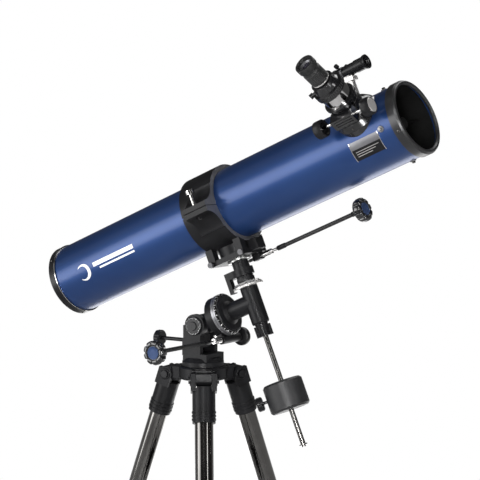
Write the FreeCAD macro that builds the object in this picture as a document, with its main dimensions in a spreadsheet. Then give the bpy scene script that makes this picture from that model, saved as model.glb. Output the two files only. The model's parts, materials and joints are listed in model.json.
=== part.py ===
import FreeCAD, Part
import math
import os
import re
import Sketcher

# Newtonian reflector on a small german equatorial mount and a steel tripod.
# Millimetres, +Z up. The origin is on the floor, on the azimuth axis; +X points north,
# where the polar axis and the tube point, and +Y points west, away from the focuser.
#
# Frames used below, each a FreeCAD.Placement:
#   HUB    top face of the tripod head, on the azimuth axis
#   POLAR  latitude pivot, x along the polar axis, z along the declination axis
#   DEC    where the two axes cross; same directions as POLAR
#   TUBE   middle of the cradle on the optical axis; same directions as POLAR
#   FOCUS  on the optical axis below the focuser, z along the drawtube, x along the tube
#   leg_frame(k)  leg pivot k, z up along the leg, x outwards

SIZES = {
    # tripod head
    "hub_radius": 48, "hub_tall": 26, "lug_width": 44, "lug_reach": 57.4,
    "tongue_width": 30, "tongue_radius": 13, "leg_pivot_out": 73, "leg_pivot_drop": 19,
    "leg_bolt_radius": 4, "azimuth_bolt_radius": 5, "leg_azimuth": -53.8,
    # legs, measured down the leg from its pivot
    "leg_tilt": 19, "leg_length": 725, "shoe_width": 51, "shoe_front": 17, "shoe_top": 15,
    "shoe_bottom": 24, "collar_radius": 22.5, "collar_end": 85, "rib_radius": 23.8,
    "leg_tube_radius": 18, "leg_tube_bore": 16.4, "leg_tube_top": 40, "leg_tube_end": 555,
    "clamp_radius": 23, "clamp_top": 540, "clamp_end": 602, "lock_drop": 580,
    "extension_radius": 14, "extension_bore": 12.5, "bush_top": 190, "bush_tall": 15,
    "foot_radius": 18, "foot_flat": 16, "lock_knob_radius": 13,
    # braces and tray
    "brace_drop": 330, "brace_inset": 28, "brace_length": 122, "brace_rise": 18.1,
    "brace_width": 12, "brace_eye": 6, "rivet_radius": 2.5, "tray_pivot_out": 38,
    "tray_radius": 57, "tray_low": 20, "tray_hole_radius": 12.8, "tray_hole_out": 34,
    # azimuth base and latitude pivot
    "base_radius": 41.5, "cheek_gap": 20, "cheek_out": 30, "pivot_tall": 81.4,
    "boss_radius": 23, "pivot_bolt_radius": 6, "dial_radius": 18.5,
    "latitude": 23.23, "latitude_bolt_drop": 34, "latitude_bolt_radius": 4,
    "latitude_bolt_end": 100, "tang_half": 9, "tang_low": 44, "tang_gap": 1.8,
    # polar axis
    "barrel_radius": 19.5, "gear_case_radius": 41, "gear_case_start": 30, "gear_case_end": 53,
    "wheel_radius": 38.7, "wheel_start": 41, "wheel_end": 52, "polar_shaft_radius": 9,
    "worm_out": 46, "worm_drop": 46, "worm_radius": 6.8, "worm_shaft_radius": 3.5,
    "tunnel_radius": 8.8, "circle_radius": 42, "circle_start": 55.2, "circle_end": 64.5,
    "circle_lip": 68.5, "circle_bore": 20, "flange_radius": 37, "flange_end": 70,
    "stub_radius": 18, "slow_knob_radius": 23.5, "slow_knob_thick": 17,
    "ra_cable_end": 232, "cable_radius": 4.2,
    # declination axis
    "dec_out": 131.7, "dec_tube_radius": 17.5, "dec_tube_top": 31, "dec_tube_low": 44,
    "dec_shaft_radius": 8, "bearing_radius": 16.5, "bearing_top": 84.7,
    "dec_circle_radius": 30, "dec_circle_top": 41, "plate_low": 85.2, "plate_radius": 23,
    "saddle_low": 89, "saddle_top": 99, "saddle_half": 43, "saddle_wide": 38,
    "screw_y": 24, "screw_z": 81, "dec_cable_end": 277,
    # counterweight
    "nut_end": 70, "weight_shaft_radius": 5, "weight_shaft_end": 290,
    "weight_radius": 39.5, "weight_top": 163, "weight_end": 220, "weight_knob_radius": 14,
    # tube and cradle
    "tube_rise": 193, "tube_radius": 70, "tube_bore": 68.8, "front_rim": 474,
    "rear_end": 409, "cradle_half": 40, "cradle_bore": 70.5, "cradle_radius": 80,
    "wing_reach": 106, "wing_root": 44, "wing_curve": 40, "wing_rear": 18, "split_gap": 0.8,
    "hinge_out": 98, "knuckle_radius": 7, "hinge_pin_radius": 3, "clamp_out": 91, "clamp_at": 5,
    "front_ring_radius": 73, "front_ring_bore": 64, "front_ring_wide": 20,
    "rear_cap_radius": 72.5, "rear_cap_wide": 19,
    # optics
    "mirror_radius": 57, "mirror_front": 361, "mirror_thick": 18, "mirror_curve": 1820,
    "focuser_at": 384, "secondary_radius": 14, "vane_wide": 22, "vane_thick": 0.8,
    # focuser and eyepiece, measured out from the optical axis
    "focuser_angle": 50, "focuser_base_radius": 45, "focuser_tube_radius": 30,
    "focuser_top": 118, "drawtube_radius": 27.5, "drawtube_bore": 25, "drawtube_low": 62,
    "drawtube_top": 140, "pinion_out": 98, "pinion_side": 36, "pinion_radius": 5.2,
    "knob_radius": 17, "knob_start": 45, "knob_end": 64, "adapter_top": 170,
    "eyepiece_radius": 15.8, "eyepiece_top": 205, "eyecup_top": 222, "eyecup_radius": 19.5,
    # finder
    "finder_at": 362, "finder_rise": 135, "finder_radius": 11, "finder_half": 53,
    "finder_bell": 14,
}

DOC = FreeCAD.newDocument("telescope")
SHEET = DOC.addObject("Spreadsheet::Sheet", "Sizes")
for row, (alias, number) in enumerate(SIZES.items(), start=1):
    SHEET.set(f"A{row}", alias)
    SHEET.set(f"B{row}", str(number))
    SHEET.setAlias(f"B{row}", alias)
DOC.recompute()

X = FreeCAD.Vector(1, 0, 0)
Y = FreeCAD.Vector(0, 1, 0)
Z = FreeCAD.Vector(0, 0, 1)
# Turns that lay a part's own z along the named direction.
TURNS = {
    "z": FreeCAD.Rotation(),
    "-z": FreeCAD.Rotation(X, 180),
    "x": FreeCAD.Rotation(Y, 90),
    "-x": FreeCAD.Rotation(Y, -90),
    "y": FreeCAD.Rotation(X, -90),
    "-y": FreeCAD.Rotation(X, 90),
}
SOLID = {}          # node name -> finished object
MARGIN = 1.0        # how far a cutting tool runs past what it cuts
FIT = 0.06          # radial clearance of a turning or sliding fit
SNUG = 0.03         # radial clearance between pieces that are fixed together


def named(text):
    """The expression with each alias written as a cell of the sheet."""
    def cell(match):
        return f"Sizes.{match[0]}" if match[0] in SIZES else match[0]

    return re.sub(r"[a-z_]+[a-z0-9_]*", cell, str(text))


def value(text):
    """What an expression of aliases comes to."""
    return float(SHEET.evalExpression(named(text)))


def bind(thing, prop, text):
    thing.setExpression(prop, named(text))


def place(thing, at=(0, 0, 0), along="z", turn=None):
    """Put a piece at a point given as three expressions, its own z laid along a direction."""
    rotation = turn if turn is not None else TURNS[along]
    thing.Placement = FreeCAD.Placement(FreeCAD.Vector(0, 0, 0), rotation)
    for letter, text in zip("xyz", at):
        bind(thing, f"Placement.Base.{letter}", text)
    return thing


def fixed(thing, placement):
    """Put a piece at a placement worked out once, in place of expressions."""
    for letter in "xyz":
        thing.setExpression(f"Placement.Base.{letter}", None)
    thing.Placement = placement
    return thing


def shifted(x, y, z):
    return FreeCAD.Placement(FreeCAD.Vector(x, y, z), FreeCAD.Rotation())


def rotated(axis, angle):
    return FreeCAD.Placement(FreeCAD.Vector(0, 0, 0), FreeCAD.Rotation(axis, angle))


def cylinder(name, radius, length, at=(0, 0, 0), along="z", turn=None):
    rod = DOC.addObject("Part::Cylinder", name)
    bind(rod, "Radius", radius)
    bind(rod, "Height", length)
    return place(rod, at, along, turn)


def ball(name, radius, at=(0, 0, 0)):
    sphere = DOC.addObject("Part::Sphere", name)
    bind(sphere, "Radius", radius)
    return place(sphere, at)


def block(name, low, size, turn=None):
    """A box from its lowest corner and its three lengths, all expressions."""
    box = DOC.addObject("Part::Box", name)
    for prop, text in zip(("Length", "Width", "Height"), size):
        bind(box, prop, text)
    return place(box, low, turn=turn)


def fuse(name, *pieces):
    joined = DOC.addObject("Part::MultiFuse", name)
    joined.Shapes = list(pieces)
    joined.Refine = True
    return joined


def cut(name, base, *tools):
    remainder = DOC.addObject("Part::Cut", name)
    remainder.Base = base
    remainder.Tool = tools[0] if len(tools) == 1 else fuse(name + "_tools", *tools)
    remainder.Refine = True
    return remainder


def group(name, *pieces):
    """Separate solids kept side by side as one sub-part."""
    bundle = DOC.addObject("Part::Compound", name)
    bundle.Links = list(pieces)
    return bundle


def turned(name, profile, at=(0, 0, 0), along="z"):
    """A lathe-turned piece: a closed outline of (radius, height) points spun about its z."""
    body = DOC.addObject("PartDesign::Body", name)
    sketch = body.newObject("Sketcher::SketchObject", name + "_outline")
    plane = [feature for feature in body.Origin.OriginFeatures if feature.Role == "XZ_Plane"][0]
    sketch.AttachmentSupport = [(plane, "")]
    sketch.MapMode = "FlatFace"
    points = [FreeCAD.Vector(value(r), value(h), 0) for r, h in profile]
    for start, end in zip(points, points[1:] + points[:1]):
        sketch.addGeometry(Part.LineSegment(start, end))
    count = len(points)
    for i in range(count):
        sketch.addConstraint(Sketcher.Constraint("Coincident", i, 2, (i + 1) % count, 1))
    for i, (point, texts) in enumerate(zip(points, profile)):
        for kind, number, text in (("DistanceX", point.x, texts[0]), ("DistanceY", point.y, texts[1])):
            index = sketch.addConstraint(Sketcher.Constraint(kind, -1, 1, i, 1, number))
            bind(sketch, f"Constraints[{index}]", text)
    lathe = body.newObject("PartDesign::Revolution", name + "_turned")
    lathe.Profile = sketch
    lathe.ReferenceAxis = (sketch, ["V_Axis"])
    lathe.Angle = 360
    return place(body, at, along)


def finish(node, piece, frame):
    """Name a finished sub-part and move it from its own frame to the row's."""
    part = DOC.addObject("Part::Compound", node)
    part.Links = [piece]
    part.Placement = frame
    part.Label = node
    SOLID[node] = part


def lobed(name, radius, thick, lobes, at=(0, 0, 0), along="z", dish=2):
    """A hand knob: a turned disc with rounded edges and finger scallops round its rim."""
    scallop = radius / 4
    disc = turned(name + "_disc", [(0, 0), (radius - dish, 0), (radius, dish), (radius, thick - dish),
                                   (radius - dish, thick), (0, thick)])
    tools = []
    for i in range(lobes):
        angle = 2 * math.pi * (i + 0.5) / lobes
        reach = radius + scallop * 0.45
        tools.append(cylinder(f"{name}_scallop_{i}", scallop, thick + 2 * MARGIN,
                              (reach * math.cos(angle), reach * math.sin(angle), -MARGIN)))
    return place(cut(name, disc, *tools), at, along)


# ---------------------------------------------------------------- frames
TILT = value("leg_tilt")
HUB_TOP = value("leg_length * cos(leg_tilt) + leg_pivot_drop + foot_flat")
HUB = shifted(0, 0, HUB_TOP)
POLAR = HUB * shifted(0, 0, value("pivot_tall")) * rotated(Y, -value("latitude"))
DEC = POLAR * shifted(value("dec_out"), 0, 0)
TUBE = DEC * shifted(0, 0, value("tube_rise"))
FOCUS = TUBE * shifted(value("focuser_at"), 0, 0) * rotated(X, value("focuser_angle"))


def leg_azimuth(k):
    return value("leg_azimuth") + 120 * (k - 1)


def leg_frame(k):
    pivot = shifted(value("leg_pivot_out"), 0, HUB_TOP - value("leg_pivot_drop"))
    return rotated(Z, leg_azimuth(k)) * pivot * rotated(Y, -TILT)


def brace_frame(k):
    """At the brace's pin on leg k, x along the brace towards the middle."""
    pin = shifted(-value("brace_inset"), 0, -value("brace_drop"))
    return leg_frame(k) * pin * rotated(Y, TILT + 180 + value("brace_rise"))


# ---------------------------------------------------------------- tripod
def hub_lug(k):
    """The block, rounded boss and tongue that one leg hangs from."""
    pieces = fuse(
        f"lug_{k}",
        block(f"lug_block_{k}", ("hub_radius - 20", "-lug_width / 2", "-hub_tall"),
              ("lug_reach - hub_radius + 20", "lug_width", "hub_tall - 3")),
        cylinder(f"lug_boss_{k}", "lug_width / 2 - 2", "hub_tall", ("lug_reach - 22", 0, "-hub_tall")),
        block(f"tongue_{k}", ("lug_reach - 8", "-tongue_width / 2", "-leg_pivot_drop - tongue_radius"),
              ("leg_pivot_out - lug_reach + 8", "tongue_width", "2 * tongue_radius")),
        cylinder(f"tongue_end_{k}", "tongue_radius", "tongue_width",
                 ("leg_pivot_out", "-tongue_width / 2", "-leg_pivot_drop"), "y"),
        block(f"tongue_face_{k}", ("leg_pivot_out", "-tongue_width / 2", "-leg_pivot_drop"),
              ("tongue_radius", "tongue_width", "tongue_radius")),
    )
    bore = cylinder(f"tongue_bore_{k}", f"leg_bolt_radius + {SNUG}", "tongue_width + 2",
                    ("leg_pivot_out", "-tongue_width / 2 - 1", "-leg_pivot_drop"), "y")
    lug = cut(f"hub_lug_{k}", pieces, bore)
    lug.Placement = rotated(Z, leg_azimuth(k))
    return lug


def tripod_hub():
    bore = f"azimuth_bolt_radius + {FIT}"
    core = turned("hub_core", [
        (bore, "-12"), ("30", "-12"), ("34", "-hub_tall"), ("hub_radius - 3", "-hub_tall"),
        ("hub_radius", "-hub_tall + 4"), ("hub_radius", "-3"), ("hub_radius - 3", 0), (bore, 0)])
    lugs = [hub_lug(k) for k in (1, 2, 3)]
    recess = turned("hub_recess", [
        (0, "-12"), ("30", "-12"), ("34", "-hub_tall - 1"), (0, "-hub_tall - 1")])
    shaft_way = cylinder("hub_shaft_way", bore, "hub_tall + 4", (0, 0, "-hub_tall - 2"))
    finish("tripod_hub", cut("tripod_head", fuse("hub_all", core, *lugs), recess, shaft_way), HUB)


def leg_pivot_bolts():
    bolts = []
    for k in (1, 2, 3):
        bolt = fuse(
            f"pivot_bolt_{k}",
            cylinder(f"bolt_shank_{k}", "leg_bolt_radius", "shoe_width + 2",
                     ("leg_pivot_out", "-shoe_width / 2 - 1", "-leg_pivot_drop"), "y"),
            cylinder(f"bolt_head_{k}", "leg_bolt_radius + 3", 4,
                     ("leg_pivot_out", "-shoe_width / 2 - 4.4", "-leg_pivot_drop"), "y"),
            cylinder(f"bolt_nut_{k}", "leg_bolt_radius + 3", 4,
                     ("leg_pivot_out", "shoe_width / 2 + 0.4", "-leg_pivot_drop"), "y"))
        bolt.Placement = rotated(Z, leg_azimuth(k))
        bolts.append(bolt)
    finish("leg_pivot_bolts", fuse("pivot_bolts", *bolts), HUB)


def azimuth_lock():
    knob = lobed("azimuth_knob", 20, 22, 6, (0, 0, "-hub_tall - 12"))
    shank = cylinder("azimuth_shank", "azimuth_bolt_radius", "hub_tall + 26",
                     (0, 0, "-hub_tall - 12"))
    finish("azimuth_lock_knob", fuse("azimuth_lock", knob, shank), HUB)


def leg_castings(k):
    """The shoe at the top, the brace bracket and the clamp collar: three castings on one leg."""
    half = "shoe_width / 2"
    shoe = fuse(
        f"shoe_solid_{k}",
        cylinder(f"shoe_head_{k}", "shoe_top", "shoe_width", (0, f"-{half}", 0), "y"),
        block(f"shoe_block_{k}", (-14, f"-{half}", "-shoe_bottom"),
              ("shoe_front + 14", "shoe_width", "shoe_bottom")),
        block(f"shoe_front_{k}", (0, f"-{half}", "-shoe_bottom"),
              ("shoe_front", "shoe_width", "shoe_bottom + 10")),
        cylinder(f"shoe_collar_{k}", "collar_radius", "collar_end - shoe_bottom + 8",
                 (0, 0, "-collar_end")),
        *[cylinder(f"shoe_rib_{k}_{i}", "rib_radius", 3.2, (0, 0, f"-collar_end + {6 + 7 * i}"))
          for i in range(3)])
    slot = "tongue_width / 2 + 0.5"
    shoe = cut(
        f"shoe_{k}", shoe,
        block(f"shoe_slot_{k}", (-30, f"-({slot})", -15), (60, f"2 * ({slot})", "16 + shoe_top")),
        cylinder(f"shoe_bore_{k}", f"leg_tube_radius + {SNUG}", "collar_end - leg_tube_top + 1",
                 (0, 0, "-collar_end - 1")),
        cylinder(f"shoe_bolt_way_{k}", f"leg_bolt_radius + {FIT}", "shoe_width + 2",
                 (0, f"-{half} - 1", 0), "y"))
    bracket = fuse(
        f"bracket_solid_{k}",
        cylinder(f"bracket_band_{k}", "leg_tube_radius + 3.5", 30, (0, 0, "-brace_drop - 15")),
        block(f"bracket_lug_{k}", ("-brace_inset - 6", -10, "-brace_drop - 8"), (16, 20, 16)))
    gap = "brace_width / 2 + 0.3"
    bracket = cut(
        f"bracket_cut_{k}", bracket,
        cylinder(f"bracket_bore_{k}", f"leg_tube_radius + {SNUG}", 32, (0, 0, "-brace_drop - 16")),
        block(f"bracket_slot_{k}", ("-brace_inset - 9", f"-({gap})", "-brace_drop - 10"),
              ("brace_eye + 9.8", f"2 * ({gap})", 20)))
    rivet = cylinder(f"bracket_rivet_{k}", "rivet_radius", 22, ("-brace_inset", -11, "-brace_drop"), "y")
    bracket = fuse(f"bracket_{k}", bracket, rivet)
    clamp = fuse(
        f"clamp_solid_{k}",
        turned(f"clamp_body_{k}", [
            (f"extension_radius + {FIT}", "-clamp_end"), ("clamp_radius - 2", "-clamp_end"),
            ("clamp_radius", "-clamp_end + 2"), ("clamp_radius", "-clamp_top"),
            (f"leg_tube_radius + {SNUG}", "-clamp_top"),
            (f"leg_tube_radius + {SNUG}", f"-leg_tube_end - {SNUG}"),
            (f"extension_radius + {FIT}", f"-leg_tube_end - {SNUG}")]),
        cylinder(f"clamp_boss_{k}", 8, 12, ("clamp_radius - 4", 0, "-lock_drop"), "x"))
    clamp = cut(
        f"clamp_{k}", clamp,
        cylinder(f"clamp_screw_way_{k}", f"3 + {FIT}", 24, ("clamp_radius - 14", 0, "-lock_drop"), "x"),
        cylinder(f"clamp_bore_again_{k}", f"extension_radius + {FIT}", 40, (0, 0, "-clamp_end - 1")))
    finish(f"leg_{k}_castings", fuse(f"castings_{k}", shoe, bracket, clamp), leg_frame(k))


def leg_tube(k):
    tube = turned(f"leg_tube_{k}", [
        ("leg_tube_bore", "-leg_tube_end"), ("leg_tube_radius", "-leg_tube_end"),
        ("leg_tube_radius", "-leg_tube_top"), ("leg_tube_bore", "-leg_tube_top")])
    finish(f"leg_{k}_tube", tube, leg_frame(k))


def leg_extension(k):
    """The sliding lower tube with its bush, and the rubber foot pressed on its end."""
    tube = turned(f"extension_tube_{k}", [
        ("extension_bore", "-leg_length + 12"), ("extension_radius", "-leg_length + 12"),
        ("extension_radius", "-bush_top - bush_tall"), ("leg_tube_bore - 0.3", "-bush_top - bush_tall"),
        ("leg_tube_bore - 0.3", "-bush_top"), ("extension_bore", "-bush_top")])
    ankle = shifted(0, 0, -value("leg_length")) * rotated(Y, TILT)
    floor = fixed(block(f"floor_{k}", (0, 0, 0), (120, 120, 60)),
                  ankle * shifted(-60, -60, -60 - value("foot_flat")))
    foot = cut(
        f"foot_{k}",
        fuse(f"foot_solid_{k}",
             ball(f"foot_ball_{k}", "foot_radius", (0, 0, "-leg_length")),
             cylinder(f"foot_neck_{k}", "foot_radius - 1.5", 30, (0, 0, "-leg_length"))),
        floor,
        cylinder(f"foot_socket_{k}", f"extension_radius + {SNUG}", 40, (0, 0, "-leg_length + 12")))
    finish(f"leg_{k}_extension", fuse(f"extension_{k}", tube, foot), leg_frame(k))


def leg_lock(k):
    knob = lobed(f"leg_knob_{k}", value("lock_knob_radius"), 14, 5,
                 ("clamp_radius + 8.6", 0, "-lock_drop"), "x")
    shank = cylinder(f"leg_screw_{k}", 3, "clamp_radius + 10 - extension_radius - 0.6",
                     ("extension_radius + 0.6", 0, "-lock_drop"), "x")
    finish(f"leg_{k}_lock_knob", fuse(f"leg_lock_{k}", knob, shank), leg_frame(k))


def brace(k):
    half = "brace_width / 2"
    bar = fuse(
        f"brace_solid_{k}",
        block(f"brace_bar_{k}", (0, f"-{half}", -3), ("brace_length", "brace_width", 6)),
        cylinder(f"brace_eye_a_{k}", "brace_eye", "brace_width", (0, f"-{half}", 0), "y"),
        cylinder(f"brace_eye_b_{k}", "brace_eye", "brace_width", ("brace_length", f"-{half}", 0), "y"))
    bar = cut(
        f"brace_{k}", bar,
        cylinder(f"brace_bore_a_{k}", f"rivet_radius + {FIT}", "brace_width + 2",
                 (0, f"-{half} - 1", 0), "y"),
        cylinder(f"brace_bore_b_{k}", "rivet_radius + 0.2", "brace_width + 2",
                 ("brace_length", f"-{half} - 1", 0), "y"))
    finish(f"brace_{k}", bar, brace_frame(k))


def spreader():
    """The hub with three forks for the braces, and the round tray on top of its boss."""
    pieces = [
        cylinder("spreader_disc", "tray_pivot_out - 4", 5, (0, 0, -15)),
        cylinder("spreader_boss", 13, "tray_low + 15", (0, 0, -14))]
    for k in (1, 2, 3):
        ears = []
        for side, low in (("a", "brace_width / 2 + 0.6"), ("b", "-brace_width / 2 - 4.1")):
            ears.append(block(f"fork_{k}{side}", ("tray_pivot_out - 12", low, -15), (18, 3.5, 20)))
        fork = fuse(f"fork_{k}", *ears)
        fork.Placement = rotated(Z, leg_azimuth(k))
        pieces.append(fork)
    tray = turned("tray_disc", [
        (0, "tray_low"), ("tray_radius", "tray_low"), ("tray_radius", "tray_low + 7"),
        ("tray_radius - 2", "tray_low + 7"), ("tray_radius - 2", "tray_low + 2.5"),
        (0, "tray_low + 2.5")])
    holes = []
    for i in range(3):
        angle = math.radians(leg_azimuth(1) + 60 + 120 * i)
        holes.append(cylinder(
            f"tray_hole_{i}", "tray_hole_radius", 8,
            (f"tray_hole_out * {math.cos(angle):.6f}", f"tray_hole_out * {math.sin(angle):.6f}",
             "tray_low - 3")))
    tray = cut("tray_drilled", tray, *holes)
    finish("spreader_tray", fuse("spreader_all", *pieces, tray), shifted(0, 0, tray_pivot_height()))


def tray_pivot_height():
    pin = brace_frame(1).multVec(FreeCAD.Vector(value("brace_length"), 0, 0))
    return pin.z


# ---------------------------------------------------------------- azimuth base
def azimuth_base():
    cheek = "cheek_out - cheek_gap"
    pieces = [
        turned("base_disc", [
            (0, 0.3), ("base_radius", 0.3), ("base_radius", 9), ("base_radius - 7", 17), (0, 17)]),
        block("base_block", (-28, "-cheek_out", 6), (57, "2 * cheek_out", 20))]
    for side, low in (("near", "-cheek_out"), ("far", "cheek_gap")):
        pieces.append(block(f"cheek_{side}", (-27, low, 20), (41, cheek, "pivot_tall - 20")))
        pieces.append(cylinder(f"cheek_boss_{side}", "boss_radius", cheek, (0, low, "pivot_tall"), "y"))
    pieces.append(block("rear_web", (-36, "-cheek_gap - 1", 20), (10, "2 * cheek_gap + 2", 34)))
    body = cut(
        "azimuth_casting", fuse("azimuth_solid", *pieces),
        cylinder("base_bolt_way", "azimuth_bolt_radius + 0.3", 18, (0, 0, -1)),
        cylinder("base_pivot_way", f"pivot_bolt_radius + {SNUG}", "2 * cheek_out + 2",
                 (0, "-cheek_out - 1", "pivot_tall"), "y"),
        cylinder("web_screw_way", f"latitude_bolt_radius + {FIT}", 20,
                 (-40, 0, "pivot_tall - latitude_bolt_drop"), "x"))
    finish("azimuth_base", body, HUB)


def latitude_pivot():
    """Two stub bolts on one line, and the round dial on the near cheek."""
    stubs = [
        cylinder("stub_near", "pivot_bolt_radius", "cheek_out - 8",
                 (0, "-cheek_out - 1", "pivot_tall"), "y"),
        cylinder("stub_far", "pivot_bolt_radius", "cheek_out - 8", (0, 9, "pivot_tall"), "y"),
        cylinder("stub_far_head", 11, 6, (0, "cheek_out + 0.2", "pivot_tall"), "y")]
    dial = turned("latitude_dial", [
        (0, 0.2), ("dial_radius", 0.2), ("dial_radius", 3), ("dial_radius - 2", 4.5), (9, 4.5),
        (8, 6.5), (0, 6.5)],
        (0, "-cheek_out", "pivot_tall"), "-y")
    finish("latitude_pivot", fuse("latitude_pivots", *stubs, dial), HUB)


def latitude_bolt():
    height = "pivot_tall - latitude_bolt_drop"
    knob = lobed("latitude_knob", 16, 13, 5, ("-latitude_bolt_end - 13", 0, height), "x")
    shank = cylinder("latitude_shank", "latitude_bolt_radius",
                     "latitude_bolt_end + 2 - tang_half - tang_gap",
                     ("-latitude_bolt_end - 2", 0, height), "x")
    finish("latitude_bolt", fuse("latitude_screw", knob, shank), HUB)


# ---------------------------------------------------------------- polar axis
def polar_housing():
    """Barrel, gear case and worm tunnel, with the tang that the latitude bolt bears on."""
    tang = fixed(block("polar_tang", (0, 0, 0), ("2 * tang_half", 24, "tang_low - 10")),
                 rotated(Y, value("latitude")) * shifted(-value("tang_half"), -12, -value("tang_low")))
    solid = fuse(
        "polar_solid",
        cylinder("polar_barrel", "barrel_radius", "gear_case_start + 24", (-22, 0, 0), "x"),
        cylinder("polar_cross", "barrel_radius + 1.5", "2 * cheek_gap - 0.8",
                 (0, "-cheek_gap + 0.4", 0), "y"),
        turned("gear_case", [
            (0, "gear_case_start"), (28, "gear_case_start"), ("gear_case_radius", "wheel_start - 2"),
            ("gear_case_radius", "gear_case_end"), (0, "gear_case_end")], along="x"),
        cylinder("worm_tunnel", "tunnel_radius", 60, ("worm_out", -24, "-worm_drop"), "y"),
        block("worm_web", ("worm_out - tunnel_radius", -22, "-worm_drop"), (12, 52, "worm_drop - 20")),
        tang,
        cylinder("polar_tail", 8, 10, (-30, 0, 0), "x"))
    housing = cut(
        "polar_casting", solid,
        cylinder("wheel_well", "wheel_radius + 0.6", 30, ("wheel_start - 0.6", 0, 0), "x"),
        cylinder("worm_well", "worm_radius + 0.5", 42, ("worm_out", -17, "-worm_drop"), "y"),
        cylinder("worm_shaft_way", f"worm_shaft_radius + {FIT}", 70,
                 ("worm_out", -30, "-worm_drop"), "y"),
        cylinder("polar_shaft_way", f"polar_shaft_radius + {FIT}", 40, (11, 0, 0), "x"),
        cylinder("polar_pivot_way", f"pivot_bolt_radius + {FIT}", "2 * cheek_gap + 2",
                 (0, "-cheek_gap - 1", 0), "y"))
    finish("polar_housing", housing, POLAR)


def ra_setting_circle():
    ring = turned("ra_circle", [
        ("circle_bore", "circle_start"), ("circle_radius", "circle_start"),
        ("circle_radius", "circle_end"),
        ("flange_radius + 0.9", "circle_lip"), ("flange_radius + 0.3", "circle_lip"),
        ("flange_radius + 0.3", "circle_end + 1.2"), ("circle_bore", "circle_end + 1.2")], along="x")
    finish("ra_setting_circle", ring, POLAR)


def ra_worm():
    """The worm on its shaft, with the round knob on the far end."""
    thread = turned("ra_worm_thread", [
        (0, -14), ("worm_radius - 2", -14), ("worm_radius", -12), ("worm_radius", 18),
        ("worm_radius - 2", 20), (0, 20)], ("worm_out", 0, "-worm_drop"), "y")
    shaft = cylinder("ra_worm_shaft", "worm_shaft_radius", 88, ("worm_out", -42, "-worm_drop"), "y")
    knob = turned("ra_far_knob", [
        (0, 40), (14, 40), (18.5, 44), (18.5, 50), (15, 55),
        (0, 56)], ("worm_out", 0, "-worm_drop"), "y")
    finish("ra_worm", fuse("ra_worm_all", thread, shaft, knob), POLAR)


def slow_motion(name, start, end, at, along, frame, coupler=24, screw=None):
    """Coupler, rod, flexible shaft and lobed hand knob, all on one line."""
    length = f"({end}) - ({start})"
    stick = turned(name + "_stick", [
        (f"worm_shaft_radius + {SNUG}", 0), (6, 0), (6, coupler), (3, coupler), (3, coupler + 14),
        (5, coupler + 14), (5, coupler + 34), ("cable_radius", coupler + 34),
        ("cable_radius", f"{length} - 16"),
        (5.2, f"{length} - 16"), (5.2, length), (0, length), (0, coupler - 8),
        (f"worm_shaft_radius + {SNUG}", coupler - 8)])
    knob = lobed(name + "_knob", value("slow_knob_radius"), value("slow_knob_thick"), 9, (0, 0, length))
    pieces = [stick, knob]
    if screw:
        pieces.append(cylinder(name + "_screw", "worm_shaft_radius", f"{screw} + {coupler - 8.1}",
                               (0, 0, f"-{screw}")))
    finish(name, place(group(name + "_line", *pieces), at, along), frame)


def ra_moving():
    shaft = turned("ra_shaft_bar", [
        (0, 12), ("polar_shaft_radius", 12), ("polar_shaft_radius", 76), (0, 76)], along="x")
    wheel = turned("ra_wheel_blank", [
        (f"polar_shaft_radius + {SNUG}", "wheel_start"), ("wheel_radius", "wheel_start"),
        ("wheel_radius", "wheel_start + 3"), ("wheel_radius - 1.2", "wheel_start + 6"),
        ("wheel_radius", "wheel_end - 3"), ("wheel_radius", "wheel_end"),
        (f"polar_shaft_radius + {SNUG}", "wheel_end")], along="x")
    finish("ra_shaft_wheel", group("ra_shaft_and_wheel", shaft, wheel), POLAR)


def dec_housing():
    """The cross casting: flange and stub on the polar axis, tube and upper bearing on the other."""
    solid = fuse(
        "dec_solid",
        turned("dec_polar_side", [
            (0, "wheel_end + 0.6"), ("circle_bore - 0.3", "wheel_end + 0.6"),
            ("circle_bore - 0.3", "circle_end + 1.6"), ("flange_radius", "circle_end + 1.6"),
            ("flange_radius - 2", "flange_end"),
            ("stub_radius + 6", "flange_end + 2"), ("stub_radius", "flange_end + 8"),
            ("stub_radius", "dec_out"), (0, "dec_out")], ("-dec_out", 0, 0), "x"),
        turned("dec_tube_part", [
            (0, "-dec_tube_low"), ("dec_tube_radius - 1.5", "-dec_tube_low"),
            ("dec_tube_radius", "-dec_tube_low + 3"),
            ("dec_tube_radius", "dec_tube_top"), ("bearing_radius", "dec_tube_top"),
            ("bearing_radius", "bearing_top"), (0, "bearing_top")]))
    body = cut(
        "dec_casting", solid,
        cylinder("dec_bore", f"dec_shaft_radius + {FIT}", "bearing_top + dec_tube_low + 2",
                 (0, 0, "-dec_tube_low - 1")),
        cylinder("ra_socket", f"polar_shaft_radius + {SNUG}", "76.1 - wheel_end",
                 ("wheel_end - dec_out", 0, 0), "x"))
    finish("dec_housing", body, DEC)


def dec_setting_circle():
    ring = turned("dec_circle", [
        ("bearing_radius + 0.3", "dec_tube_top + 0.3"), ("dec_circle_radius", "dec_tube_top + 0.3"),
        ("dec_circle_radius", "dec_tube_top + 4"), ("dec_circle_radius - 5", "dec_circle_top"),
        ("bearing_radius + 0.3", "dec_circle_top")])
    finish("dec_setting_circle", ring, DEC)


def dec_tangent_arm():
    """The clamp band round the upper bearing and the hooked arm that hangs beside it."""
    band = turned("arm_band", [
        (f"bearing_radius + {FIT}", 55), ("bearing_radius + 4.5", 55), ("bearing_radius + 4.5", 69),
        (f"bearing_radius + {FIT}", 69)])
    arm = fuse(
        "arm_solid", band,
        block("arm_upper", (-42, -6, 58), (26, 12, 14)),
        block("arm_lower", (-42, -6, 30), (9, 12, 30)),
        block("arm_far", (-36, -2, 57), (9, 20, 10)))
    body = cut("arm_cut", arm, cylinder("arm_way", f"bearing_radius + {FIT}", 30, (0, 0, 45)))
    finish("dec_tangent_arm", body, DEC)


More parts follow.
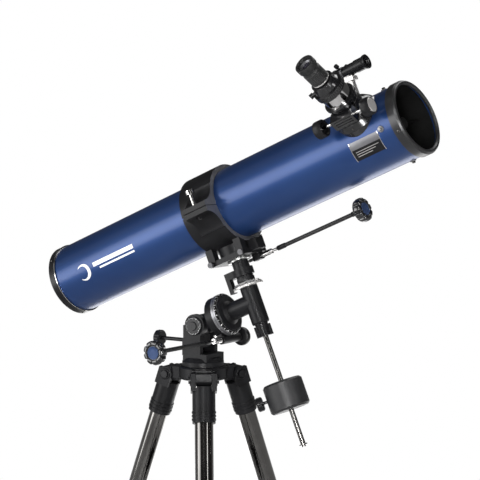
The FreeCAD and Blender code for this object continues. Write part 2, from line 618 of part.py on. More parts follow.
def dec_moving():
    shaft = turned("dec_shaft_bar", [
        (0, -46), ("dec_shaft_radius", -46), ("dec_shaft_radius", "plate_low"),
        ("plate_radius", "plate_low"), ("plate_radius", "saddle_low"), (0, "saddle_low")])
    finish("dec_shaft", shaft, DEC)
    pieces = [
        block("saddle_plate", ("-saddle_half", "-saddle_wide", "saddle_low"),
              ("2 * saddle_half", "2 * saddle_wide", "saddle_top - saddle_low")),
        cylinder("saddle_boss", 33, 20, (0, 0, "saddle_top - 1")),
        block("saddle_nose", ("saddle_half - 2", -13, "saddle_low + 3"), (20, 26, 24)),
        block("carriage", (20, 17, "screw_z - 5.6"), (18, 14, "saddle_low - screw_z + 6.6"))]
    for i in (-1, 1):
        for j in (-1, 1):
            pieces.append(block(
                f"saddle_corner_{i}_{j}",
                (f"{i} * (saddle_half - 8) - 8", f"{j} * (saddle_wide - 6) - 8", "saddle_top - 2"),
                (16, 16, 26)))
    saddle = cut(
        "saddle_cut", fuse("saddle_solid", *pieces),
        cylinder("cradle_bed", f"cradle_radius + {SNUG}", 160, (-80, 0, "tube_rise"), "x"),
        cylinder("carriage_way", f"worm_shaft_radius + {FIT}", 80, (-30, "screw_y", "screw_z"), "x"))
    finish("saddle", saddle, DEC)
    screws = []
    for i in (-1, 1):
        screws.append(fuse(
            f"saddle_screw_{i}",
            cylinder(f"screw_shank_{i}", 2.5, 3.9,
                     (f"{i} * 38", "-saddle_wide - 4", "saddle_low + 5"), "y"),
            cylinder(f"screw_head_{i}", 5.5, 4,
                     (f"{i} * 38", "-saddle_wide - 8", "saddle_low + 5"), "y")))
    finish("saddle_screws", fuse("saddle_screw_pair", *screws), DEC)


# ---------------------------------------------------------------- counterweight
def counterweight():
    """The shaft with its wing nut and toe saver, the weight and the weight's clamp knob."""
    core = turned("nut_core", [
        (f"weight_shaft_radius + {FIT}", "-nut_end"), (10, "-nut_end"), (12.5, "-dec_tube_low - 2.4"),
        (f"weight_shaft_radius + {FIT}", "-dec_tube_low - 2.4")])
    wings = []
    for i in range(4):
        wing = block(f"nut_wing_{i}", (0, 0, 0), (8, 5, "nut_end - dec_tube_low - 4"))
        wings.append(fixed(wing, rotated(Z, 45 + 90 * i) * shifted(8.5, -2.5, -value("nut_end"))))
    finish("shaft_lock_nut", fuse("nut_solid", core, *wings), DEC)
    bar = turned("weight_bar", [
        (0, "-weight_shaft_end"), ("weight_shaft_radius", "-weight_shaft_end"),
        ("weight_shaft_radius", -46.1), (0, -46.1)])
    toe = turned("toe_saver", [
        (0, "-weight_shaft_end - 6"), (4, "-weight_shaft_end - 6"), (4, "-weight_shaft_end - 2.5"),
        (8, "-weight_shaft_end - 2.5"), (8, "-weight_shaft_end - 0.05"),
        (0, "-weight_shaft_end - 0.05")])
    finish("counterweight_shaft", fuse("weight_shaft_all", bar, toe), DEC)
    weight = turned("weight_disc", [
        ("weight_shaft_radius + 0.3", "-weight_end"), ("weight_radius - 4", "-weight_end"),
        ("weight_radius", "-weight_end + 4"), ("weight_radius", "-weight_top - 4"),
        ("weight_radius - 4", "-weight_top"), ("weight_shaft_radius + 0.3", "-weight_top")])
    side = FreeCAD.Rotation(Z, 30) * TURNS["-x"]
    way = cylinder("weight_screw_way", f"3 + {FIT}", 60, (0, 0, "-(weight_top + weight_end) / 2"),
    turn=side)
    finish("counterweight", cut("weight_drilled", weight, way), DEC)
    knob = fuse(
        "weight_knob_line",
        lobed("weight_knob_head", value("weight_knob_radius"), 13, 6, (0, 0, 47)),
        cylinder("weight_knob_shank", 3, 43, (0, 0, 5.8)))
    knob.Placement = FreeCAD.Placement(
        FreeCAD.Vector(0, 0, -value("(weight_top + weight_end) / 2")), side)
    finish("counterweight_knob", knob, DEC)


# ---------------------------------------------------------------- cradle
def cradle_half(name, up):
    """Half of the hinged band: up is 1 for the cap, -1 for the bed."""
    low = 0 if up > 0 else "-wing_root"
    wings = [
        block(f"{name}_wing_near", ("-wing_rear", "-wing_reach", low),
              ("cradle_half + wing_rear", "wing_reach - 62", "wing_root")),
        block(f"{name}_wing_far", ("-wing_rear", 62, low),
              ("cradle_half + wing_rear", "hinge_out - 70", "wing_root"))]
    band = fuse(
        f"{name}_solid",
        cylinder(f"{name}_band", "cradle_radius", "2 * cradle_half", ("-cradle_half", 0, 0), "x"),
        *wings)
    parting = "-120 + split_gap" if up > 0 else "-split_gap"
    tools = [
        block(f"{name}_other_side", ("-cradle_half - 1", -120, parting),
        ("2 * cradle_half + 2", 240, 120)),
        cylinder(f"{name}_bore", "cradle_bore", "2 * cradle_half + 2", ("-cradle_half - 1", 0, 0), "x"),
        cylinder(f"{name}_curve_near", "wing_curve", "2 * cradle_half + 2",
                 ("-cradle_half - 1", "-wing_reach - 4", f"{up} * (wing_curve + 10)"), "x"),
        cylinder(f"{name}_curve_far", "wing_curve", "2 * cradle_half + 2",
                 ("-cradle_half - 1", "wing_reach + 4", f"{up} * (wing_curve + 10)"), "x")]
    if up > 0:
        tools.append(cylinder(f"{name}_screw_way", f"4 + {FIT}", 60, ("clamp_at", "-clamp_out", -1)))
        tools.append(cylinder(f"{name}_knuckle_clear", "knuckle_radius + 0.6", 22,
                              (0, "hinge_out", 0), "x"))
    else:
        tools.append(cylinder(f"{name}_screw_way", 5.2, 60, ("clamp_at", "-clamp_out", -59)))
        for i, start in enumerate((-28, 21)):
            tools.append(cylinder(f"{name}_knuckle_clear_{i}", "knuckle_radius + 0.6", 29,
                                  (start, "hinge_out", 0), "x"))
    return cut(f"{name}_cut", band, *tools)


def knuckle(name, start, length, up):
    web_low = "0.8" if up > 0 else "-knuckle_radius"
    return fuse(
        name,
        cylinder(name + "_round", "knuckle_radius", length, (start, "hinge_out", 0), "x"),
        block(name + "_web", (start, "hinge_out - 16", web_low), (length, 16, "knuckle_radius - 0.8")))


def cradle():
    bed = fuse("bed_all", cradle_half("bed", -1), knuckle("bed_knuckle", 1, 20, -1))
    bed = cut("bed_bored", bed,
              cylinder("bed_pin_way", f"hinge_pin_radius + {SNUG}", 30, (-4, "hinge_out", 0), "x"))
    pin = cylinder("hinge_pin", "hinge_pin_radius", 58, (-18, "hinge_out", 0), "x")
    finish("cradle_bed", bed, TUBE)
    finish("cradle_hinge_pin", pin, TUBE)
    cap = fuse("cap_all", cradle_half("cap", 1),
               knuckle("cap_knuckle_a", -17, 17.5, 1), knuckle("cap_knuckle_b", 21.5, 17.5, 1))
    cap = cut("cap_bored", cap,
              cylinder("cap_pin_way", f"hinge_pin_radius + {FIT}", 84, (-42, "hinge_out", 0), "x"))
    finish("cradle_cap", cap, TUBE)
    screw = turned("clamp_screw", [
        (0, -8), (4, -8), (4, 34), (8.5, 35), (8.5, 43), (7.5, 44),
        (0, 44)], ("clamp_at", "-clamp_out", 0))
    finish("cradle_clamp_screw", screw, TUBE)


# ---------------------------------------------------------------- optical tube
def optical_tube():
    shell = turned("tube_shell", [
        ("tube_bore", "-rear_end + 8"), ("tube_radius", "-rear_end + 8"),
        ("tube_radius", "front_rim - 8"),
        ("tube_bore", "front_rim - 8")], along="x")
    hole = cylinder("focus_hole", "drawtube_radius + 3.5", 60,
                    ("focuser_at", "-sin(focuser_angle) * 40", "cos(focuser_angle) * 40"),
                    turn=FreeCAD.Rotation(X, value("focuser_angle")))
    finish("optical_tube", cut("tube_drilled", shell, hole), TUBE)
    front = turned("front_band", [
        ("front_ring_bore", "front_rim - 6"), ("tube_bore", "front_rim - 7.9"),
        (f"tube_radius + {SNUG}", "front_rim - 7.9"),
        (f"tube_radius + {SNUG}", "front_rim - front_ring_wide"),
        ("front_ring_radius", "front_rim - front_ring_wide"),
        ("front_ring_radius", "front_rim - 5"), ("front_ring_radius - 2", "front_rim - 1"),
        ("front_ring_radius - 4", "front_rim"), ("front_ring_bore + 2", "front_rim"),
        ("front_ring_bore", "front_rim - 3")],
        along="x")
    finish("front_ring", front, TUBE)
    rear = turned("rear_band", [
        (60, "-rear_end"), ("rear_cap_radius - 3", "-rear_end"), ("rear_cap_radius", "-rear_end + 3"),
        ("rear_cap_radius", "-rear_end + rear_cap_wide"),
        (f"tube_radius + {SNUG}", "-rear_end + rear_cap_wide"),
        (f"tube_radius + {SNUG}", "-rear_end + 7.9"), (60, "-rear_end + 7.9")], along="x")
    finish("rear_ring", rear, TUBE)


def mirrors():
    cell = turned("cell_plate", [
        (0, "-rear_end + 10"), ("tube_bore - 0.4", "-rear_end + 10"),
        ("tube_bore - 0.4", "-rear_end + 22"),
        ("mirror_radius + 3", "-rear_end + 22"), ("mirror_radius + 3", "-rear_end + 16"),
        (0, "-rear_end + 16")],
        along="x")
    ways = []
    screws = []
    for i in range(6):
        angle = math.radians(60 * i)
        at = ("-rear_end + 1", 48 * math.cos(angle), 48 * math.sin(angle))
        ways.append(cylinder(f"cell_way_{i}", 3.03, 24, at, "x"))
        screws.append(fuse(
            f"cell_screw_{i}",
            cylinder(f"cell_screw_shank_{i}", 3, 18, at, "x"),
            cylinder(f"cell_screw_head_{i}", 7 if i % 2 else 5, 6, at, "x")))
    finish("collimation_screws", fuse("cell_screws", *screws), TUBE)
    blank = cylinder("mirror_blank", "mirror_radius", "mirror_thick",
                     ("-mirror_front - mirror_thick", 0, 0), "x")
    curve = ball("mirror_sphere", "mirror_curve", ("mirror_curve - mirror_front - 0.9", 0, 0))
    glass = cut("mirror_ground", blank, curve)
    posts = [cylinder(f"mirror_pad_{i}", 6, "rear_end - mirror_front - mirror_thick - 14.05",
                      ("-rear_end + 14", 40 * math.cos(math.radians(30 + 120 * i)),
                       40 * math.sin(math.radians(30 + 120 * i))), "x") for i in range(3)]
    finish("primary_mirror", glass, TUBE)
    finish("mirror_cell", cut("cell_drilled", fuse("cell_and_pads", cell, *posts), *ways), TUBE)


def secondary():
    """Spider vanes, holder and the flat at 45 degrees below the drawtube."""
    vanes = [cylinder("spider_hub", 11, 26, (34, 0, 0), "x")]
    for i in range(4):
        vane = block(f"vane_{i}", (0, 0, 0), ("vane_wide", "vane_thick", "tube_bore - 8.3"))
        vanes.append(fixed(vane, rotated(X, 45 + 90 * i) * shifted(36, -value("vane_thick") / 2, 8)))
    spider_vanes = fuse("spider_vanes", *vanes)
    slant = rotated(Y, -45)
    rod = cylinder("holder_rod", "secondary_radius", 40, (-6, 0, 0), "x")
    behind = fixed(block("holder_behind", (0, 0, 0), (160, 80, 74.5)), slant * shifted(-80, -40, -80))
    slab = fixed(block("flat_slab", (0, 0, 0), (80, 80, 5.4)), slant * shifted(-40, -40, -5.4))
    holder = DOC.addObject("Part::Common", "holder_common")
    holder.Base = rod
    holder.Tool = behind
    finish("spider", fuse("spider_and_holder", spider_vanes, holder), FOCUS)
    flat = DOC.addObject("Part::Common", "flat_common")
    flat.Base = cylinder("flat_rod", "secondary_radius - 1", 120, (-60, 0, 0), "x")
    flat.Tool = slab
    finish("secondary_mirror", flat, FOCUS)


# ---------------------------------------------------------------- focuser and eyepiece
EYE_SCREW = FreeCAD.Rotation(Z, 35) * TURNS["-x"]      # the thumbscrew, pointing outwards


def focuser():
    bore = "drawtube_radius + 0.3"
    base = fuse(
        "focus_solid",
        turned("focus_skirt", [
            (bore, 30), ("focuser_base_radius", 30), ("focuser_base_radius", 66),
            ("focuser_base_radius - 6", 76), ("focuser_tube_radius + 4", 82),
            ("focuser_tube_radius", 86), ("focuser_tube_radius", "focuser_top"),
            (bore, "focuser_top")]),
        block("pinion_box", (-24, "-pinion_side - 11", "pinion_out - 11"),
        (48, "pinion_side - 12", 22)))
    body = cut(
        "focus_casting", base,
        cylinder("focus_saddle", f"tube_radius + {SNUG}", 200, (-100, 0, 0), "x"),
        cylinder("focus_bore", bore, 120, (0, 0, 30)),
        cylinder("pinion_shaft_way", f"3 + {FIT}", 60, (-30, "-pinion_side", "pinion_out"), "x"),
        cylinder("pinion_well", "pinion_radius + 1", 20, (-10, "-pinion_side", "pinion_out"), "x"),
        block("rack_way", (-6, "-drawtube_radius - 4", 30), (12, 10, 120)))
    finish("focuser_base", body, FOCUS)
    draw = fuse(
        "draw_solid",
        turned("draw_tube", [
            ("drawtube_bore", "drawtube_low"), ("drawtube_radius", "drawtube_low"),
            ("drawtube_radius", "drawtube_top"), ("drawtube_bore", "drawtube_top")]),
        block("draw_rack", (-5, "-drawtube_radius - 2.6", "drawtube_low + 2"),
              (10, 4.4, "drawtube_top - drawtube_low - 22")))
    finish("drawtube", draw, FOCUS)
    adapter = turned("adapter_ring", [
        (f"eyepiece_radius + {FIT}", "drawtube_top + 0.05"), (29, "drawtube_top + 0.05"),
        (31, "drawtube_top + 2"),
        (31, "drawtube_top + 14"), (26, "drawtube_top + 16"), (24, "adapter_top - 8"),
        (23, "adapter_top - 0.3"),
        (f"eyepiece_radius + {FIT}", "adapter_top - 0.3")])
    way = cylinder("adapter_screw_way", f"2.5 + {FIT}", 60, (0, 0, "adapter_top - 8"), turn=EYE_SCREW)
    finish("eyepiece_adapter", cut("adapter_drilled", adapter, way), FOCUS)
    pinion = fuse(
        "pinion_solid",
        cylinder("pinion_shaft", 3, "2 * knob_end - 8",
                 ("-knob_end + 4", "-pinion_side", "pinion_out"), "x"),
        cylinder("pinion_gear", "pinion_radius", 14, (-7, "-pinion_side", "pinion_out"), "x"))
    knobs = []
    for side, along in (("front", "x"), ("rear", "-x")):
        knobs.append(turned(f"focus_knob_{side}", [
            (3.03, "knob_start + 9"), ("knob_radius - 5", "knob_start + 9"),
            ("knob_radius - 5", "knob_start"),
            ("knob_radius - 1", "knob_start"), ("knob_radius", "knob_start + 1.5"),
            ("knob_radius", "knob_end - 1.5"),
            ("knob_radius - 1.5", "knob_end"), (0, "knob_end"), (0, "knob_end - 3.9"),
            (3.03, "knob_end - 3.9")],
            (0, "-pinion_side", "pinion_out"), along))
    finish("focuser_pinion", group("pinion_and_knobs", pinion, *knobs), FOCUS)


def eyepiece():
    screw = fuse(
        "eye_screw_line",
        cylinder("eye_screw_shank", 2.5, 14.5, (0, 0, "eyepiece_radius + 0.4")),
        cylinder("eye_screw_head", 5, 8, (0, 0, 28)))
    screw.Placement = FreeCAD.Placement(FreeCAD.Vector(0, 0, value("adapter_top - 8")), EYE_SCREW)
    finish("eyepiece_screw", screw, FOCUS)
    body = turned("eye_body", [
        (13, 140), ("eyepiece_radius", 140), ("eyepiece_radius", "adapter_top"), (18, "adapter_top"),
        (18, "eyepiece_top"), ("eyecup_radius", "eyepiece_top + 3"),
        ("eyecup_radius", "eyecup_top - 2"),
        ("eyecup_radius - 2", "eyecup_top"), ("eyecup_radius - 5", "eyecup_top"),
        (12.5, "eyepiece_top + 7"),
        (12.5, "eyepiece_top"), (13, "eyepiece_top - 2")])
    finish("eyepiece_body", body, FOCUS)
    lenses = [
        turned("eye_lens", [(0, 197), (12.97, 197), (12.97, 201), (6, 203), (0, 203.6)]),
        turned("field_lens", [(0, 172), (6, 172.6), (12.97, 175), (12.97, 180), (0, 180)])]
    finish("eyepiece_lenses", fuse("eye_lenses", *lenses), FOCUS)


# ---------------------------------------------------------------- finder
def finder():
    foot = fuse(
        "finder_solid",
        block("finder_foot", ("finder_at - 22", -12, "tube_radius - 4"), (44, 24, 9)),
        block("finder_post", ("finder_at - 12", -6, "tube_radius"),
              (24, 12, "finder_rise - finder_radius - tube_radius - 4")),
        block("finder_cradle", ("finder_at - 18", -9, "finder_rise - finder_radius - 10"), (36, 18, 8)))
    foot = cut("finder_bracket_cut", foot,
               cylinder("finder_saddle", f"tube_radius + {SNUG}", 80, ("finder_at - 40", 0, 0), "x"))
    finish("finder_bracket", foot, TUBE)
    barrel = turned("finder_barrel", [
        ("finder_radius - 2", "-finder_half"), ("finder_radius", "-finder_half"),
        ("finder_radius", "finder_half - 26"),
        ("finder_radius + 1.2", "finder_half - 25"), ("finder_radius + 1.2", "finder_half - 8"),
        ("finder_bell", "finder_half - 3"), ("finder_bell", "finder_half"),
        ("finder_bell - 2", "finder_half"),
        ("finder_radius - 2", "finder_half - 8")], ("finder_at", 0, "finder_rise"), "x")
    keel = block("finder_keel", ("finder_at - 16", -5, "finder_rise - finder_radius - 1.95"),
    (32, 10, 4))
    barrel = fuse("finder_shell", barrel, keel)
    lenses = [
        cylinder(f"finder_lens_{i}", f"finder_radius - 2 - {SNUG}", 3,
                 (f"finder_at + {along}", 0, "finder_rise"), "x")
        for i, along in enumerate(("finder_half - 14", "5 - finder_half"))]
    finish("finder_tube", barrel, TUBE)
    finish("finder_lenses", fuse("finder_lens_pair", *lenses), TUBE)


# ---------------------------------------------------------------- build
def build():
    tripod_hub()
    leg_pivot_bolts()
    azimuth_lock()
    for k in (1, 2, 3):
        leg_castings(k)
        leg_tube(k)
        leg_extension(k)
        leg_lock(k)
        brace(k)
    spreader()
    azimuth_base()
    latitude_pivot()
    latitude_bolt()
    polar_housing()
    ra_setting_circle()
    ra_worm()
    slow_motion("ra_slow_motion", 26, "ra_cable_end", ("worm_out", -26, "-worm_drop"), "-y", POLAR)
    ra_moving()
    dec_housing()
    dec_setting_circle()
    dec_tangent_arm()
    dec_moving()
    slow_motion("dec_slow_motion", 44, "dec_cable_end", (44, "screw_y", "screw_z"), "x", DEC,
                coupler=20, screw=38)
    counterweight()
    cradle()
    optical_tube()
    mirrors()
    secondary()
    focuser()
    eyepiece()
    finder()


def check_and_write():
    DOC.recompute()
    for thing in DOC.Objects:
        if "Invalid" in thing.State or "Error" in thing.State:
            raise RuntimeError(f"{thing.Name} failed: {thing.State}")
    os.makedirs("parts", exist_ok=True)
    for node, piece in SOLID.items():
        shape = piece.Shape
        if shape.isNull() or not shape.isValid() or not shape.Solids:
            raise RuntimeError(f"{node} has no valid solid")
        shape.exportStep(f"parts/{node}.step")
        print(f"{node}: {len(shape.Solids)} solids, {shape.Volume / 1000:.1f} cm3")
    print(len(SOLID), "nodes; hub top at", round(HUB_TOP, 2))


build()
check_and_write()
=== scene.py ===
"""Looks of a newtonian reflector on its equatorial mount and tripod."""

import json
import math

import bmesh
import bpy
from mathutils import Matrix, Vector


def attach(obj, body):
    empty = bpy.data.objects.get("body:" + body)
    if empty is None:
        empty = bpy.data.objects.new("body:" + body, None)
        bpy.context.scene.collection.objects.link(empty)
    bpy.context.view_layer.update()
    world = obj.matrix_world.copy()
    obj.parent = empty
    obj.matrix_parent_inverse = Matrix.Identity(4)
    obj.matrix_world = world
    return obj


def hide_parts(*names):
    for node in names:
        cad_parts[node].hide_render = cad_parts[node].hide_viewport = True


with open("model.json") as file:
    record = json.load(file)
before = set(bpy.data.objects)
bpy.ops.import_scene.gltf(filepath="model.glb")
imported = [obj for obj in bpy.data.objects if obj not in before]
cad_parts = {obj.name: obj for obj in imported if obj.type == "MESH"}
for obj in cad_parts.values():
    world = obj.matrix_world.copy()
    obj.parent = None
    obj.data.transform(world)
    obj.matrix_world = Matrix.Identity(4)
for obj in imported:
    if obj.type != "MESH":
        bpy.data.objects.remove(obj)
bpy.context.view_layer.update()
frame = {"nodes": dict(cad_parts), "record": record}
nodes = frame["nodes"]

MM = 0.001


# ---------------------------------------------------------------- frames
def move(x, y, z):
    """A shift in mm."""
    return Matrix.Translation((x * MM, y * MM, z * MM))


def turn(degrees, axis):
    return Matrix.Rotation(math.radians(degrees), 4, axis)


HUB_TOP = 720.5
POLAR_RISE = 81.4       # from the hub's top to the latitude pivot
LATITUDE = 23.23
DEC_REACH = 131.7       # along the polar axis to the declination axis
TUBE_RISE = 193         # along the declination axis to the tube's axis
TUBE_RADIUS = 70.0
FOCUS_X = 384           # along the tube to the focuser
FOCUS_ROLL = 50
WORM_X, WORM_Z = 46, -46
FINDER_X, FINDER_RISE = 362, 135
FIRST_LEG = -53.8       # the way leg 1 points
LEG_OUT, LEG_DROP = 73, 19
LEG_SPLAY = 19

HUB = move(0, 0, HUB_TOP)
POLAR = move(0, 0, HUB_TOP + POLAR_RISE) @ turn(-LATITUDE, "Y")
DEC = POLAR @ move(DEC_REACH, 0, 0)
TUBE = DEC @ move(0, 0, TUBE_RISE)
FOCUS = TUBE @ move(FOCUS_X, 0, 0) @ turn(FOCUS_ROLL, "X")
FINDER = TUBE @ move(FINDER_X, 0, FINDER_RISE)
ALONG_X = turn(90, "Y")
ALONG_NEG_X = turn(-90, "Y")
ALONG_Y = turn(-90, "X")
ALONG_NEG_Y = turn(90, "X")


def leg_frame(k):
    """A leg's pivot, with -z running down the leg."""
    return turn(FIRST_LEG + 120 * (k - 1), "Z") @ move(LEG_OUT, 0, HUB_TOP - LEG_DROP) @ turn(-LEG_SPLAY, "Y")


# ---------------------------------------------------------------- camera
SENSOR_WIDTH = 36
FOCAL_LENGTH = 146.25
CAMERA_AT = (2.2169, -3.1322, 1.2784)
CAMERA_RIGHT = (0.82711, 0.56204, 0)
CAMERA_FORWARD = (-0.56023, 0.82445, -0.08020)


def make_camera():
    data = bpy.data.cameras.new("camera")
    data.sensor_width = SENSOR_WIDTH
    data.lens = FOCAL_LENGTH
    camera = bpy.data.objects.new("camera", data)
    bpy.context.collection.objects.link(camera)
    right = Vector(CAMERA_RIGHT)
    forward = Vector(CAMERA_FORWARD)
    up = right.cross(forward)
    basis = Matrix((right, up, -forward)).transposed().to_4x4()
    camera.matrix_world = Matrix.Translation(CAMERA_AT) @ basis
    bpy.context.scene.camera = camera


# ---------------------------------------------------------------- materials
def new_material(name):
    material = bpy.data.materials.new(name)
    material.use_nodes = True
    tree = material.node_tree
    shader = tree.nodes["Principled BSDF"]
    return material, tree, shader


def noise(tree, scale, detail=3.0, stretch=(1, 1, 1)):
    coords = tree.nodes.new("ShaderNodeTexCoord")
    mapping = tree.nodes.new("ShaderNodeMapping")
    mapping.inputs["Scale"].default_value = stretch
    texture = tree.nodes.new("ShaderNodeTexNoise")
    texture.inputs["Scale"].default_value = scale
    texture.inputs["Detail"].default_value = detail
    tree.links.new(coords.outputs["Object"], mapping.inputs["Vector"])
    tree.links.new(mapping.outputs["Vector"], texture.inputs["Vector"])
    return texture.outputs["Fac"]


def ramp(tree, source, low, high):
    """A colour between two others, by the middle of a noise's range."""
    node = tree.nodes.new("ShaderNodeValToRGB")
    node.color_ramp.elements[0].position = 0.35
    node.color_ramp.elements[1].position = 0.65
    node.color_ramp.elements[0].color = (*low, 1)
    node.color_ramp.elements[1].color = (*high, 1)
    tree.links.new(source, node.inputs["Fac"])
    return node.outputs["Color"]


def spread(tree, source, low, high):
    """A value between two others, by the middle of a noise's range."""
    node = tree.nodes.new("ShaderNodeMapRange")
    node.inputs["From Min"].default_value = 0.3
    node.inputs["From Max"].default_value = 0.7
    node.inputs["To Min"].default_value = low
    node.inputs["To Max"].default_value = high
    tree.links.new(source, node.inputs["Value"])
    return node.outputs["Result"]


def bump(tree, source, shader, strength, distance):
    node = tree.nodes.new("ShaderNodeBump")
    node.inputs["Strength"].default_value = strength
    node.inputs["Distance"].default_value = distance
    tree.links.new(source, node.inputs["Height"])
    tree.links.new(node.outputs["Normal"], shader.inputs["Normal"])


def surface(name, low, high, rough, metal=0.0, coat=0.0, grain=900, bumpy=0.1, depth=0.0001,
            blotch=25, stretch=(1, 1, 1), coat_rough=0.05, specular=0.5):
    """A finish with blotchy colour, uneven roughness and a fine grain."""
    material, tree, shader = new_material(name)
    shader.inputs["Metallic"].default_value = metal
    shader.inputs["Coat Weight"].default_value = coat
    shader.inputs["Coat Roughness"].default_value = coat_rough
    shader.inputs["Specular IOR Level"].default_value = specular
    blotches = noise(tree, blotch)
    fine = noise(tree, grain, 2.0, stretch)
    tree.links.new(ramp(tree, blotches, low, high), shader.inputs["Base Color"])
    tree.links.new(spread(tree, fine, rough[0], rough[1]), shader.inputs["Roughness"])
    bump(tree, fine, shader, bumpy, depth)
    return material


MAT = {
    "casting": surface("casting", (0.004, 0.004, 0.0045), (0.008, 0.008, 0.009), (0.34, 0.44),
                       grain=1400, bumpy=0.30, specular=0.16),
    "plastic": surface("plastic", (0.004, 0.004, 0.0045), (0.008, 0.008, 0.009), (0.26, 0.36),
                       grain=1800, bumpy=0.2, specular=0.22),
    "satin": surface("satin", (0.030, 0.030, 0.031), (0.042, 0.042, 0.044), (0.30, 0.38),
                     grain=900, bumpy=0.1, metal=0.6, specular=0.5),
    "gloss": surface("gloss", (0.004, 0.004, 0.0045), (0.007, 0.007, 0.008), (0.14, 0.22),
                     grain=1200, bumpy=0.06, coat=0.35, coat_rough=0.08),
    "rubber": surface("rubber", (0.006, 0.006, 0.0065), (0.012, 0.012, 0.012), (0.45, 0.6),
                      grain=2200, bumpy=0.35, specular=0.4),
    "chrome": surface("chrome", (0.55, 0.54, 0.54), (0.64, 0.63, 0.62), (0.06, 0.12), metal=1.0,
                      grain=500, bumpy=0.02, blotch=12),
    # Chrome with its colour darkened: painted shade standing in for the dark room that the legs, shafts and
    # screws reflect.
    "shaded_chrome": surface("shaded_chrome", (0.10, 0.097, 0.093), (0.14, 0.135, 0.13), (0.08, 0.14), metal=1.0,
                          grain=500, bumpy=0.02, blotch=12),
    "brushed": surface("brushed", (0.42, 0.42, 0.42), (0.54, 0.54, 0.53), (0.24, 0.36), metal=1.0,
                       grain=160, bumpy=0.1, stretch=(1, 1, 18)),
    "grey_metal": surface("grey_metal", (0.15, 0.15, 0.16), (0.22, 0.22, 0.23), (0.28, 0.40), metal=0.8,
                          grain=900, bumpy=0.12),
    "edge_metal": surface("edge_metal", (0.42, 0.41, 0.40), (0.52, 0.51, 0.50), (0.32, 0.45), metal=0.6,
                          grain=700, bumpy=0.15),
    "edge_grey": surface("edge_grey", (0.05, 0.05, 0.055), (0.085, 0.085, 0.09), (0.35, 0.5), metal=0.3,
                         grain=700, bumpy=0.2),
    "iron": surface("iron", (0.007, 0.007, 0.0075), (0.014, 0.014, 0.015), (0.42, 0.55), grain=420,
                    bumpy=0.3, depth=0.0003, specular=0.4),
    "brass": surface("brass", (0.42, 0.28, 0.10), (0.55, 0.38, 0.16), (0.2, 0.32), metal=1.0),
    "blue_paint": surface("blue_paint", (0.013, 0.037, 0.126), (0.017, 0.046, 0.148), (0.40, 0.48),
                          metal=0.65, coat=0.4, specular=0.05, grain=3200, bumpy=0.05,
                          depth=0.00003, blotch=6, coat_rough=0.2),
    "blue_cap": surface("blue_cap", (0.020, 0.036, 0.085), (0.030, 0.050, 0.115), (0.34, 0.44),
                        metal=0.2, specular=0.12, grain=900),
    "white_print": surface("white_print", (0.70, 0.70, 0.70), (0.80, 0.80, 0.80), (0.4, 0.5)),
    "flat_black": surface("flat_black", (0.003, 0.003, 0.003), (0.006, 0.006, 0.006), (0.8, 0.95),
                          grain=900, specular=0.1),
    "mirror": surface("mirror", (0.86, 0.87, 0.88), (0.90, 0.91, 0.92), (0.0, 0.02), metal=1.0,
                      bumpy=0.0),
}


def glass_material():
    material, tree, shader = new_material("coated_glass")
    shader.inputs["Transmission Weight"].default_value = 0.85
    shader.inputs["IOR"].default_value = 1.5
    shader.inputs["Coat Weight"].default_value = 0.6
    tint = ramp(tree, noise(tree, 40), (0.10, 0.10, 0.16), (0.14, 0.12, 0.20))
    tree.links.new(tint, shader.inputs["Base Color"])
    tree.links.new(spread(tree, noise(tree, 300), 0.01, 0.05), shader.inputs["Roughness"])
    return material


MAT["glass"] = glass_material()

SLOT_FINISH = {
    "black_casting": "casting", "chrome": "chrome", "steel": "brushed", "black_plastic": "plastic",
    "black_tube_steel": "casting", "circle_metal": "grey_metal", "brass": "brass", "painted_iron": "iron",
    "blue_tube": "blue_paint", "drawtube_chrome": "chrome", "mirror_glass": "mirror", "lens_glass": "glass",
}
NODE_FINISH = {
    "leg_1_extension": "plastic", "leg_2_extension": "plastic", "leg_3_extension": "plastic",
    "spider": "flat_black", "eyepiece_screw": "plastic", "focuser_base": "gloss",
    "eyepiece_adapter": "gloss", "finder_bracket": "edge_metal", "finder_tube": "plastic",
    "leg_1_tube": "shaded_chrome", "leg_2_tube": "shaded_chrome", "leg_3_tube": "shaded_chrome",
    "leg_pivot_bolts": "plastic", "saddle_screws": "edge_grey", "front_ring": "satin",
    "dec_setting_circle": "edge_metal", "counterweight_shaft": "shaded_chrome",
}


SOFT_EDGE = 0.5
SOFT_EDGE_ANGLE = 40


def dress_frame():
    """Finishes and softened edges for the pieces that come from the frame."""
    slot_of = {entry["node"]: entry["material_slot"] for entry in frame["record"]["subparts"]}
    for name, thing in nodes.items():
        finish = NODE_FINISH.get(name, SLOT_FINISH[slot_of[name]])
        thing.data.materials.clear()
        thing.data.materials.append(MAT[finish])
        if finish in ("glass", "mirror"):
            continue
        bevel = thing.modifiers.new("soft_edges", "BEVEL")
        bevel.width = SOFT_EDGE * MM
        bevel.segments = 2
        bevel.limit_method = "ANGLE"
        bevel.angle_limit = math.radians(SOFT_EDGE_ANGLE)
        bevel.harden_normals = False


# ---------------------------------------------------------------- piece makers
SHARP_ANGLE = 35        # edges that turn more than this are drawn sharp
PATCH_STEPS = 24


def add_piece(name, mesh, finish, body, sharp=SHARP_ANGLE):
    mesh.shade_smooth()
    mesh.set_sharp_from_angle(angle=math.radians(sharp))
    mesh.materials.append(MAT[finish])
    piece = bpy.data.objects.new(name, mesh)
    bpy.context.collection.objects.link(piece)
    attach(piece, body)
    return piece


def mesh_from(bm, name):
    bmesh.ops.remove_doubles(bm, verts=bm.verts, dist=1e-7)
    bmesh.ops.recalc_face_normals(bm, faces=bm.faces)
    mesh = bpy.data.meshes.new(name)
    bm.to_mesh(mesh)
    bm.free()
    return mesh


